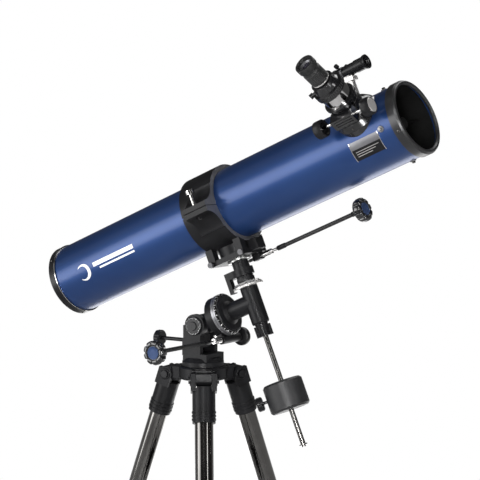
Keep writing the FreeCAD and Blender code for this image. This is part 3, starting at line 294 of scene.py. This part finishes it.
def spin(bm, profile, place, steps, wave=None):
    """Turn an outline of (radius, height) in mm about z; wave(angle, height, radius) scales it."""
    rings = []
    for i in range(steps):
        angle = 2 * math.pi * i / steps
        ring = []
        for radius, height in profile:
            reach = radius * (wave(angle, height, radius) if wave else 1)
            ring.append(bm.verts.new(place @ Vector((
                reach * math.cos(angle) * MM, reach * math.sin(angle) * MM, height * MM))))
        rings.append(ring)
    count = len(profile)
    closed = profile[0] == profile[-1]
    for i in range(steps):
        here, there = rings[i], rings[(i + 1) % steps]
        for j in range(count - 1):
            corners = [here[j], there[j], there[j + 1], here[j + 1]]
            if profile[j][0] == 0:
                corners = [here[j], there[j + 1], here[j + 1]]
            elif profile[j + 1][0] == 0:
                corners = [here[j], there[j], there[j + 1]]
            bm.faces.new(corners)
    if not closed:
        for j in (0, count - 1):
            if profile[j][0] == 0:
                bmesh.ops.pointmerge(bm, verts=[ring[j] for ring in rings], merge_co=rings[0][j].co)


def lathe(name, profile, place, finish, body, steps, wave=None, sharp=SHARP_ANGLE):
    bm = bmesh.new()
    spin(bm, profile, place, steps, wave)
    return add_piece(name, mesh_from(bm, name), finish, body, sharp)


def slab(bm, low, high, place, soften):
    """A box between two corners in mm, with its edges bevelled."""
    made = bmesh.ops.create_cube(bm, size=1)
    size = [high[i] - low[i] for i in range(3)]
    middle = [(high[i] + low[i]) / 2 for i in range(3)]
    verts = made["verts"]
    bmesh.ops.transform(bm, verts=verts, matrix=place @ move(*middle) @ Matrix.Diagonal(
        (size[0] * MM, size[1] * MM, size[2] * MM, 1)))
    if soften:
        edges = list({edge for vert in verts for edge in vert.link_edges})
        bmesh.ops.bevel(bm, geom=edges, offset=soften * MM, segments=2, affect="EDGES", profile=0.6)


def slabs(name, boxes, finish, body, soften):
    """Several boxes, each (low corner, high corner, place), as one piece."""
    bm = bmesh.new()
    for low, high, place in boxes:
        slab(bm, low, high, place, soften)
    return add_piece(name, mesh_from(bm, name), finish, body)


def patch(name, x_range, angles, radii, finish, body):
    """A thin curved plate on the tube; angles are in degrees from its top towards the focuser side."""
    bm = bmesh.new()
    grid = []
    for i in range(PATCH_STEPS + 1):
        angle = math.radians(angles[0] + (angles[1] - angles[0]) * i / PATCH_STEPS)
        row = []
        for x in x_range:
            for radius in radii:
                row.append(bm.verts.new(TUBE @ Vector((
                    x * MM, -radius * math.sin(angle) * MM, radius * math.cos(angle) * MM))))
        grid.append(row)
    for here, there in zip(grid, grid[1:]):
        for a, b in ((0, 1), (1, 3), (3, 2), (2, 0)):
            bm.faces.new((here[a], here[b], there[b], there[a]))
    for row in (grid[0], grid[-1]):
        bm.faces.new((row[0], row[1], row[3], row[2]))
    return add_piece(name, mesh_from(bm, name), finish, body)


FIGURE_THICKNESS = 0.08


def text_mesh(text, size):
    curve = bpy.data.curves.new("figure", "FONT")
    curve.body = text
    curve.size = size * MM
    curve.extrude = FIGURE_THICKNESS * MM
    curve.align_x = "CENTER"
    curve.align_y = "CENTER"
    curve.resolution_u = 3
    holder = bpy.data.objects.new("figure", curve)
    mesh = bpy.data.meshes.new_from_object(holder)
    bpy.data.objects.remove(holder)
    bpy.data.curves.remove(curve)
    return mesh


def figures(name, labels, places, size, finish, body):
    """Numbers laid on a dial: each label at its own place, facing that place's +z."""
    bm = bmesh.new()
    for label, place in zip(labels, places):
        mesh = text_mesh(label, size)
        mesh.transform(place)
        bm.from_mesh(mesh)
        bpy.data.meshes.remove(mesh)
    return add_piece(name, mesh_from(bm, name), finish, body)


SKIN = 0.12         # a face plate's height over its face, and its depth below it


def face_plate(name, node, place, along, level, finish, body):
    """A thin skin over the flat faces of a frame piece that look along a direction at a given level."""
    source = nodes[node].data
    inverse = place.inverted()
    bm = bmesh.new()
    lift = (place.to_3x3() @ Vector(along)) * SKIN * MM
    for polygon in source.polygons:
        normal = inverse.to_3x3() @ polygon.normal
        centre = inverse @ polygon.center
        if normal.dot(Vector(along)) > 0.999 and abs(centre.dot(Vector(along)) / MM - level) < 0.2:
            corners = [bm.verts.new(source.vertices[i].co + lift) for i in polygon.vertices]
            bm.faces.new(corners)
    bmesh.ops.remove_doubles(bm, verts=bm.verts, dist=1e-6)
    bmesh.ops.recalc_face_normals(bm, faces=bm.faces)
    made = bmesh.ops.extrude_face_region(bm, geom=list(bm.faces))
    moved = [item for item in made["geom"] if isinstance(item, bmesh.types.BMVert)]
    bmesh.ops.translate(bm, verts=moved, vec=-lift * 2)
    return add_piece(name, mesh_from(bm, name), finish, body)


# ---------------------------------------------------------------- knobs and cables
def lobes(count, depth, floor):
    """Finger scallops round a knob's rim, outside the floor radius."""
    def wave(angle, height, radius):
        if radius < floor:
            return 1
        dip = max(0, math.cos(count * angle)) ** 2
        return 1 - depth * dip
    return wave


def knurl(count, depth, low, high, floor):
    """A fine ripple between two heights, outside the floor radius."""
    def wave(angle, height, radius):
        if radius < floor or not low <= height <= high:
            return 1
        return 1 - depth * (0.5 + 0.5 * math.cos(count * angle))
    return wave


def hand_knob(name, place, body):
    """The lobed hand wheel of a slow-motion cable: dished black rim with a blue cap."""
    lathe(name + "_wheel", [
        (0, 0), (7, 0), (8.5, -3), (19, -2.5), (22, 0), (23.3, 3), (23.4, 10), (22.6, 13.5), (20.5, 15.5),
        (16, 16.2), (14.4, 15.6), (13.2, 13.8), (0, 13.4)],
        place, "gloss", body, steps=180, wave=lobes(9, 0.17, floor=20))
    lathe(name + "_cap", [
        (0, 13.0), (12.4, 13.0), (12.5, 14.6), (11.8, 15.4), (10.6, 15.2), (9.8, 14.8), (4, 15.0), (0, 15.2)],
        place, "blue_cap", body, steps=96)


def slow_motion(name, place, length, body, coupler):
    """Coupler with its set screw, chrome rod, ferrule and wound flexible shaft out to the hand wheel."""
    lathe(name + "_coupler", [
        (0, 0.2), (5.4, 0.2), (6, 0.8), (6, coupler - 2), (5.2, coupler), (0, coupler)],
        place, "chrome", body, 48)
    across = place @ move(0, 0, coupler / 2) @ turn(-90, "X") @ turn(90, "Z")
    lathe(name + "_screw", [
        (0, 5.4), (1.6, 5.4), (1.6, 8), (3.6, 8), (3.8, 8.4), (3.8, 11.6), (3.4, 12), (0, 12)],
        across, "chrome", body, 48, wave=knurl(20, 0.06, 8.4, 11.6, 3.5))
    start = coupler + 14
    lathe(name + "_rod", [(0, coupler), (3, coupler), (3, start), (0, start)],
          place, "chrome", body, 32)
    lathe(name + "_ferrule", [
        (0, start), (4.4, start), (5, start + 1), (5, start + 18), (4.4, start + 20), (0, start + 20)],
        place, "plastic", body, 48)
    start += 19.5
    pitch = 1.5
    winding = [(0, start)]
    turns = int((length - 16 - start) / pitch)
    for i in range(turns):
        low = start + i * pitch
        winding += [(3.75, low), (4.15, low + 0.35 * pitch), (4.15, low + 0.65 * pitch)]
    winding += [(3.75, start + turns * pitch), (0, start + turns * pitch)]
    lathe(name + "_cable", winding, place, "rubber", body, 28, sharp=80)
    lathe(name + "_collar", [
        (0, length - 17), (4.6, length - 17), (5.2, length - 16), (5.2, length - 4), (6.5, length - 1),
        (0, length - 1)],
        place, "plastic", body, 48)
    hand_knob(name, place @ move(0, 0, length + 0.4), body)


def make_slow_motions():
    ra = POLAR @ move(WORM_X, -26, WORM_Z) @ ALONG_NEG_Y
    slow_motion("ra_control", ra, 206, "ra_worm_line", 24)
    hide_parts("ra_slow_motion")
    dec = DEC @ move(44, 24, 81) @ ALONG_X
    slow_motion("dec_control", dec, 233, "dec_screw", 20)
    lathe("dec_control_shaft", [(0, -38), (3.1, -38), (3.5, -37.5), (3.5, 0.3), (0, 0.3)], dec, "brushed",
          "dec_screw", 40)
    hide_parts("dec_slow_motion")
    far = POLAR @ move(WORM_X, 0, WORM_Z) @ ALONG_Y
    lathe("ra_worm_wheel_knob", [
        (0, 40), (10, 40), (14, 40.4), (17.6, 42.6), (18.5, 44.5), (18.5, 50), (17.8, 52.2), (15.5, 54),
        (13.5, 54.6), (12.5, 53.6), (0, 53.4)], far, "plastic", "ra_worm_line", 160,
        wave=knurl(40, 0.022, 43, 52, 17))
    lathe("ra_worm_shaft_visible", [
        (0, -41.5), (3.2, -41.5), (3.5, -41), (3.5, 39.5), (6, 39.5), (6, 40.5), (0, 40.5)],
        far, "chrome", "ra_worm_line", 40)
    lathe("ra_worm_thread_visible", worm_profile(), far, "brushed", "ra_worm_line", 64)
    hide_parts("ra_worm")


def worm_profile():
    """The outline of a shaft with ridges along it."""
    points = [(0, -14), (4.8, -14)]
    height = -13
    while height < 18:
        points += [(4.9, height), (6.6, height + 0.5), (6.6, height + 1.1), (4.9, height + 1.6)]
        height += 2.2
    return points + [(4.8, 20), (0, 20)]


# ---------------------------------------------------------------- setting circles and dials
CONE = 45.7         # slope of the right ascension circle's numbered face, in degrees
DEC_CONE = 50.2
HOURS = 24
DIAL_CONE = 37


def make_circles():
    body, slot = "ra_circle", "circle_metal"
    ring = POLAR @ ALONG_X
    lathe("ra_circle_band", [
        (41.9, 64.7), (42.0, 64.9), (38.3, 68.6), (38.1, 68.4), (41.9, 64.7)],
        ring, "flat_black", body, 128)
    slope = turn(CONE, "Y")
    ticks = []
    for i in range(2 * HOURS):
        place = POLAR @ turn(7.5 * i, "X") @ move(66.6, 0, 40.1) @ slope
        reach = 2.4 if i % 2 else 2.7
        ticks.append(((-reach, -0.25, -0.1), (-reach + 1.4, 0.25, 0.35), place))
    slabs("ra_circle_ticks", ticks, "white_print", body, soften=0)
    upright = slope @ turn(90, "Z")
    places = [POLAR @ turn(15 * hour, "X") @ move(66.8, 0, 40.3) @ upright for hour in range(HOURS)]
    figures("ra_circle_figures", [str(hour) for hour in range(HOURS)], places, 4.6, "white_print", body)
    # A thin black ring round the circle's rim: painted shade standing in for a groove.
    lathe("ra_circle_groove_shade", [(41.95, 60.4), (42.12, 60.4), (42.12, 61), (41.95, 61), (41.95, 60.4)],
          ring, "flat_black", body, 128)
    body = "dec_circle"
    ticks = []
    for i in range(120):
        place = DEC @ turn(3 * i, "Z") @ move(29.9, 0, 35.1) @ turn(180 + DEC_CONE, "Y")
        length = 5.2 if i % 10 == 0 else 2.8
        ticks.append(((0.2, -0.3, -0.12), (length, 0.3, 0.05), place))
    slabs("dec_circle_ticks", ticks, "flat_black", body, soften=0)
    labels, places = [], []
    for i in range(12):
        reading = 30 * i % 180
        labels.append(str(min(reading, 180 - reading)))
        places.append(DEC @ turn(30 * i + 5, "Z") @ move(30.05, 0, 33.2) @ turn(90, "Y") @ turn(90, "Z"))
    figures("dec_circle_figures", labels, places, 2.8, "flat_black", body)
    dial = HUB @ move(0, -30, POLAR_RISE) @ ALONG_NEG_Y
    ticks = []
    for i in range(36):
        place = dial @ turn(10 * i, "Z") @ move(17.2, 0, 3.9)
        length = 3.4 if i % 3 == 0 else 1.8
        ticks.append(((-length, -0.2, 0), (0, 0.2, 0.35), place @ turn(DIAL_CONE, "Y") @ move(0, 0, -0.1)))
    slabs("latitude_dial_ticks", ticks, "white_print", "azimuth", soften=0)


# ---------------------------------------------------------------- tube and optics
RING_SCREW_RADIUS = 3.2
FOCUSER_SCREW_RADIUS = 2.4


def make_tube_trim():
    body = "tube"
    plate, print_skin = (TUBE_RADIUS, 70.7), (TUBE_RADIUS, 70.25)
    patch("nameplate_upper", (358, 421), (95, 107), plate, "grey_metal", body)
    patch("nameplate_lower", (358, 421), (107, 125), plate, "plastic", body)
    for i in range(3):
        low = 111 + 3.6 * i
        patch(f"nameplate_line_{i}", (364, 415 - 9 * i), (low, low + 0.9), (70.6, 70.85),
              "edge_metal", body)
    for side, x in (("front", 421.2), ("rear", 356.6)):
        patch(f"nameplate_edge_{side}", (x, x + 1.2), (94.6, 125.4), (TUBE_RADIUS, 70.95),
              "chrome", body)
    patch("stripe_wide", (-291, -182), (88.5, 95.5), print_skin, "white_print", body)
    patch("stripe_narrow", (-277, -182), (99, 102), print_skin, "white_print", body)
    crescent(body)
    lathe("rear_edge_line", [
        (72.4, -391.6), (72.75, -391.4), (72.75, -390.2), (70.2, -389.9), (70.2, -391.6), (72.4, -391.6)],
        TUBE @ ALONG_X, "chrome", body, 160)
    lathe("inner_flocking", [(68.75, -385), (68.75, 463), (68.2, 463), (68.2, -385), (68.75, -385)],
          TUBE @ ALONG_X, "flat_black", body, 128)
    for i in range(4):
        boss = FOCUS @ turn(45 + 90 * i, "X") @ move(47, 0, 69.6)
        lathe(f"vane_screw_{i}", [(0, 0), (6.2, 0), (6.2, 1.4), (5.4, 2.4), (4.2, 2.6), (0, 2.6)], boss,
              "grey_metal", body, 48)
        lathe(f"vane_nut_{i}", [(0, 2.4), (3.4, 2.4), (3.4, 5), (2.6, 5.8), (0, 6)], boss,
              "shaded_chrome", body, 48, wave=knurl(16, 0.08, 2.4, 5.2, 3.2))
    for i in range(3):
        head = TUBE @ turn(109 + 120 * i, "X") @ move(462.4, 0, 72.4)
        pan_screw(f"front_ring_screw_{i}", head, RING_SCREW_RADIUS, body)
        head = TUBE @ turn(50 + 120 * i, "X") @ move(-400, 0, 71.9)
        pan_screw(f"rear_ring_screw_{i}", head, RING_SCREW_RADIUS, body)


def pan_screw(name, place, radius, body):
    """A small round-headed screw with a black bar across its head, painted shade for its slot."""
    bm = bmesh.new()
    dome = [(0, 0), (radius, 0), (radius, 0.5), (radius * 0.8, 1.3), (radius * 0.4, 1.7), (0, 1.8)]
    spin(bm, dome, place, 32)
    add_piece(name, mesh_from(bm, name), "shaded_chrome", body)
    # The black bar is painted shade standing in for the slot's recess.
    slabs(name + "_slot", [((-radius * 0.7, -0.35, 1.3), (radius * 0.7, 0.35, 1.84), place)],
          "flat_black", body, soften=0)


MOON_X, MOON_ANGLE = -319, 97
MOON_RADIUS, MOON_SKIN = 17, 70.3
MOON_STEPS = 40


def crescent(body):
    """A plain moon crescent printed near the rear of the tube."""
    bm = bmesh.new()
    outer, inner = [], []
    for i in range(MOON_STEPS + 1):
        angle = math.radians(-128 + 256 * i / MOON_STEPS)
        outer.append((MOON_RADIUS * math.cos(angle), MOON_RADIUS * math.sin(angle)))
        inner.append((-4.5 + 14.2 * math.cos(angle * 0.955), 13.4 * math.sin(angle)))
    layers = []
    for radius in (TUBE_RADIUS, MOON_SKIN):
        rows = []
        for points in (outer, inner):
            row = []
            for x, s in points:
                angle = math.radians(MOON_ANGLE) + s / TUBE_RADIUS
                row.append(bm.verts.new(TUBE @ Vector((
                    (MOON_X + x) * MM, -radius * math.sin(angle) * MM, radius * math.cos(angle) * MM))))
            rows.append(row)
        layers.append(rows)
    for i in range(MOON_STEPS):
        for rows in layers:
            bm.faces.new((rows[0][i], rows[0][i + 1], rows[1][i + 1], rows[1][i]))
        for j in (0, 1):
            bm.faces.new((layers[0][j][i], layers[0][j][i + 1], layers[1][j][i + 1], layers[1][j][i]))
    for i in (0, MOON_STEPS):
        bm.faces.new((layers[0][0][i], layers[0][1][i], layers[1][1][i], layers[1][0][i]))
    add_piece("moon_print", mesh_from(bm, "moon_print"), "white_print", body)


# ---------------------------------------------------------------- focuser, eyepiece, finder
def make_focuser():
    body, slot = "focus_knobs", "black_plastic"
    pinion = FOCUS @ move(0, -36, 98)
    lathe("focus_shaft", [(0, -58), (3, -58), (3, 58), (0, 58)], pinion @ ALONG_X,
          "chrome", body, 40)
    lathe("focus_gear", [(0, -7), (5.2, -7), (5.2, 7), (0, 7)], pinion @ ALONG_X, "brass", body, 72,
          wave=lobes(12, 0.14, floor=5))
    for side, place in (("front", pinion @ ALONG_X), ("rear", pinion @ ALONG_NEG_X)):
        lathe(f"focus_knob_{side}", [
            (3, 54), (11.6, 54), (12, 53.5), (12, 46), (13, 45), (16, 45), (17, 46.4), (17, 60.8), (16, 62.6),
            (14.2, 63.2), (13.4, 62.4), (3, 62.2)],
            place, "plastic", body, 168, wave=knurl(42, 0.035, 46.4, 60.8, 16.5))
        lathe(f"focus_cap_{side}", [
            (0, 61.6), (13.6, 61.6), (13.6, 62.8), (12.8, 63.6), (11.6, 63.3), (0, 63.5)],
            place, "edge_metal", body, 72)
    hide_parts("focuser_pinion")
    ribs = [((-18, -48.4, 91 + 5.5 * i), (18, -46.6, 93.6 + 5.5 * i), FOCUS) for i in range(3)]
    slabs("focuser_ribs", ribs, "gloss", "tube", 0.7)
    lathe("focuser_collar", [
        (28, 112), (32.5, 112), (33.4, 113), (33.4, 117.5), (32.6, 118.3), (28, 118.3), (28, 112)],
        FOCUS, "gloss", "tube", 120, wave=knurl(60, 0.012, 113, 117.6, 33))
    lathe("focuser_band", [(30, 103), (30.6, 103.3), (30.6, 105.2), (30, 105.5), (30, 103)], FOCUS, "chrome",
          "tube", 96)
    for i in range(3):
        head = FOCUS @ turn(30 + 120 * i, "Z") @ move(41.4, 0, 70.4) @ turn(50, "Y")
        pan_screw(f"focuser_base_screw_{i}", head, FOCUSER_SCREW_RADIUS, "tube")
    lathe("adapter_grip", [
        (30.6, 143.4), (31.4, 143.8), (31.4, 152.4), (30.6, 152.8), (30.6, 143.4)],
        FOCUS, "rubber", "drawtube", 160, wave=knurl(40, 0.02, 143.8, 152.4, 31))
    lathe("drawtube_lip", [(25, 139), (27.6, 139.2), (27.7, 139.9), (25, 139.9), (25, 139)], FOCUS, "brushed",
          "drawtube", 96)


def make_eyepiece():
    body, slot = "eyepiece", "black_plastic"
    profile = [(13, 140), (15.8, 140), (15.8, 170.1), (17.4, 170.2), (18, 171), (18, 176)]
    for i in range(7):
        low = 177 + 3.4 * i
        profile += [(18, low), (18.5, low + 0.5), (18.5, low + 2.2), (18, low + 2.7)]
    profile += [(17.2, 202), (17.2, 206), (18.6, 207.5), (19.4, 209), (19.5, 219.6), (18.9, 221.4),
                (17.6, 222), (15.2, 221.8), (14.2, 219), (12.6, 212), (12.5, 205), (13, 203), (13, 140)]
    lathe("eyepiece_shell", profile, FOCUS, "rubber", body, 128)
    lathe("eyepiece_barrel", [
        (14.9, 140.2), (15.84, 140.2), (15.84, 170.4), (14.9, 170.4), (14.9, 140.2)],
        FOCUS, "chrome", body, 96)
    lathe("eyepiece_ring", [
        (18, 172.2), (18.25, 172.4), (18.25, 174), (18, 174.2), (18, 172.2)],
        FOCUS, "edge_metal", body, 96)
    lathe("eye_lens_mount", [
        (9.2, 211.8), (13.2, 211.8), (13.9, 215.2), (12.6, 215.6), (10, 213.8), (9.2, 213.4), (9.2, 211.8)],
        FOCUS, "grey_metal", body, 96)
    lathe("eye_lens_front", [(0, 212.0), (9.3, 212.0), (9.3, 212.6), (6, 213.4), (0, 213.8)], FOCUS, "glass",
          body, 64)
    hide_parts("eyepiece_body")


def make_finder():
    body, slot = "tube", "black_plastic"
    axis = FINDER @ ALONG_X
    lathe("finder_focus_ring", [
        (10.9, -52.6), (12.2, -52.4), (12.8, -51.6), (12.8, -43.4), (12.2, -42.6), (10.9, -42.4),
        (10.9, -52.6)],
        axis, "plastic", body, 120, wave=knurl(36, 0.03, -51.6, -43.4, 12.5))
    for low, high in ((-20, -16), (-4, 0)):
        lathe(f"finder_band_{high + 20}", [
            (10.9, low), (12, low + 0.4), (12, high - 0.4), (10.9, high), (10.9, low)],
            axis, "edge_grey", body, 96)
    for side, angle in (("a", 55), ("b", -55)):
        place = TUBE @ move(FINDER_X - 2, 0, FINDER_RISE) @ turn(angle, "X")
        lathe(f"finder_screw_{side}", [
            (0, 11), (1.7, 11), (1.7, 18), (4.2, 18.4), (4.4, 19), (4.4, 24.4), (4, 25), (0, 25)],
            place, "plastic", body, 60, wave=knurl(15, 0.08, 19, 24.4, 4.1))
    slabs("finder_clamp", [((350, -8.4, 119), (374, 8.4, 125.4), TUBE)], "edge_metal", body, 1.4)


# ---------------------------------------------------------------- mount trim
CRADLE_FRONT = 40       # the cradle's front face, along the tube


def make_mount_trim():
    # A lighter grey skin on the cradle's forward-looking faces: partly their own bare grey, partly a painted
    # sheen from the light they face.
    for name, node, body in (
            ("cradle_face_lower", "cradle_bed", "dec_axis"), ("cradle_face_upper", "cradle_cap", "cap")):
        face_plate(name, node, TUBE, (1, 0, 0), CRADLE_FRONT, "edge_grey", body)
    lathe("saddle_flange_ring", [
        (14.2, 84.9), (22.4, 85), (23.3, 85.6), (23.3, 88.5), (22.6, 89), (14.2, 89), (14.2, 84.9)],
        DEC, "brushed", "dec_axis", 96)
    lathe("bearing_knurl", [
        (16.4, 43), (17.4, 43.2), (17.8, 43.8), (17.8, 50), (17.4, 50.8), (16.4, 51), (16.4, 43)],
        DEC, "plastic", "ra_axis", 144, wave=knurl(36, 0.03, 43.8, 50, 17.6))
    lathe("nut_collar", [
        (8.2, -46.3), (12.6, -46.3), (13.2, -45.6), (13.2, -44.2), (8.2, -44.2), (8.2, -46.3)],
        DEC, "plastic", "dec_axis", 72)
    for k in (1, 2, 3):
        leg = leg_frame(k)
        # A thin chrome strip along the lower edge of each leg head: a painted highlight on that edge.
        slabs(f"leg_{k}_highlight_strip", [((15.6, -15.6, -17.6), (17.5, 15.6, -15.6), leg)],
              "chrome", f"leg_{k}", 0.4)
        for side, turned in ((-1, ALONG_NEG_Y), (1, ALONG_Y)):
            place = leg @ move(0, 25.5 * side, 0) @ turned
            lathe(f"leg_{k}_boss_{side + 1}", [
                (8.4, -0.2), (11.5, -0.2), (11.5, 1), (10.6, 1.6), (9.2, 1.6), (8.4, 1), (8.4, -0.2)],
                place, "casting", f"leg_{k}", 72)
        lathe(f"leg_{k}_bush", [
            (14.3, -603.6), (17, -603.4), (18, -602.4), (14.3, -602.2), (14.3, -603.6)],
            leg, "plastic", f"leg_{k}", 72)
    lathe("weight_shaft_ring", [
        (5.2, -163.6), (9, -163.4), (9.4, -163), (5.2, -162.8), (5.2, -163.6)],
        DEC, "grey_metal", "weight", 72)


# ---------------------------------------------------------------- stage
FLOOR_RADIUS = 2.3
FADE_START, FADE_END = 1.3, 2.25


def make_stage():
    """A pale floor that fades out towards its rim."""
    bm = bmesh.new()
    bmesh.ops.create_circle(bm, cap_ends=True, radius=FLOOR_RADIUS, segments=96)
    mesh = mesh_from(bm, "floor")
    material, tree, shader = new_material("floor")
    shader.inputs["Roughness"].default_value = 0.6
    shader.inputs["Specular IOR Level"].default_value = 0.2
    pale = ramp(tree, noise(tree, 3), (0.84, 0.84, 0.84), (0.88, 0.88, 0.88))
    tree.links.new(pale, shader.inputs["Base Color"])
    coords = tree.nodes.new("ShaderNodeTexCoord")
    length = tree.nodes.new("ShaderNodeVectorMath")
    length.operation = "LENGTH"
    fade = tree.nodes.new("ShaderNodeMapRange")
    fade.inputs["From Min"].default_value = FADE_START
    fade.inputs["From Max"].default_value = FADE_END
    fade.inputs["To Min"].default_value = 1
    fade.inputs["To Max"].default_value = 0
    tree.links.new(coords.outputs["Object"], length.inputs[0])
    tree.links.new(length.outputs["Value"], fade.inputs["Value"])
    tree.links.new(fade.outputs["Result"], shader.inputs["Alpha"])
    mesh.materials.append(material)
    floor = bpy.data.objects.new("floor", mesh)
    bpy.context.collection.objects.link(floor)


def area_light(name, at, target, size, power, spread=180):
    data = bpy.data.lights.new(name, "AREA")
    data.shape = "RECTANGLE"
    data.size, data.size_y = size
    data.energy = power
    data.spread = math.radians(spread)
    light = bpy.data.objects.new(name, data)
    bpy.context.collection.objects.link(light)
    light.location = at
    light.rotation_mode = "QUATERNION"
    light.rotation_quaternion = (Vector(target) - Vector(at)).to_track_quat("-Z", "Y")
    return light


def make_lights():
    """A dark room over a pale sweep, with plain white behind: light from below the horizon is bright."""
    world = bpy.data.worlds.new("studio")
    bpy.context.scene.world = world
    world.use_nodes = True
    tree = world.node_tree
    room = tree.nodes["Background"]
    coords = tree.nodes.new("ShaderNodeTexCoord")
    height = tree.nodes.new("ShaderNodeSeparateXYZ")
    sweep = tree.nodes.new("ShaderNodeMapRange")
    sweep.inputs["From Min"].default_value = -0.04
    sweep.inputs["From Max"].default_value = 0.06
    sweep.inputs["To Min"].default_value = 0.6
    sweep.inputs["To Max"].default_value = 0.07
    tree.links.new(coords.outputs["Generated"], height.inputs["Vector"])
    tree.links.new(height.outputs["Z"], sweep.inputs["Value"])
    tree.links.new(sweep.outputs["Result"], room.inputs["Strength"])
    room.inputs["Color"].default_value = (1, 1, 1, 1)
    white = tree.nodes.new("ShaderNodeBackground")
    white.inputs["Color"].default_value = (1, 1, 1, 1)
    white.inputs["Strength"].default_value = 1.0
    path = tree.nodes.new("ShaderNodeLightPath")
    mix = tree.nodes.new("ShaderNodeMixShader")
    tree.links.new(path.outputs["Is Camera Ray"], mix.inputs["Fac"])
    tree.links.new(room.outputs["Background"], mix.inputs[1])
    tree.links.new(white.outputs["Background"], mix.inputs[2])
    tree.links.new(mix.outputs["Shader"], tree.nodes["World Output"].inputs["Surface"])
    area_light("upper_left", (-2.3, -1.9, 2.5), (0.45, 0, 1.2), (3.0, 3.0), 12)
    area_light("left", (-1.6, -2.6, 1.05), (0.7, 0, 1.3), (2.2, 1.6), 17, 90)
    glow = area_light("floor_glow", (-0.75, 1.5, 0.02), (-0.75, 1.5, 1), (2.6, 1.4), 30)
    glow.visible_camera = False
    area_light("key", (1.3, -2.6, 2.9), (0.3, 0, 1.1), (0.9, 0.9), 26)
    area_light("strip_front", (1.8, -2.8, 0.9), (0, 0, 0.6), (0.22, 1.3), 10, 50)
    area_light("strip_right", (2.6, -0.6, 1.4), (0.2, 0, 0.9), (0.3, 2.0), 16)
    area_light("top", (0.3, 1.8, 3.4), (0, 0.2, 0), (2.0, 2.0), 45)
    bpy.context.scene.view_settings.view_transform = "Standard"


make_camera()
dress_frame()
make_slow_motions()
make_circles()
make_tube_trim()
make_focuser()
make_eyepiece()
make_finder()
make_mount_trim()
make_stage()
make_lights()
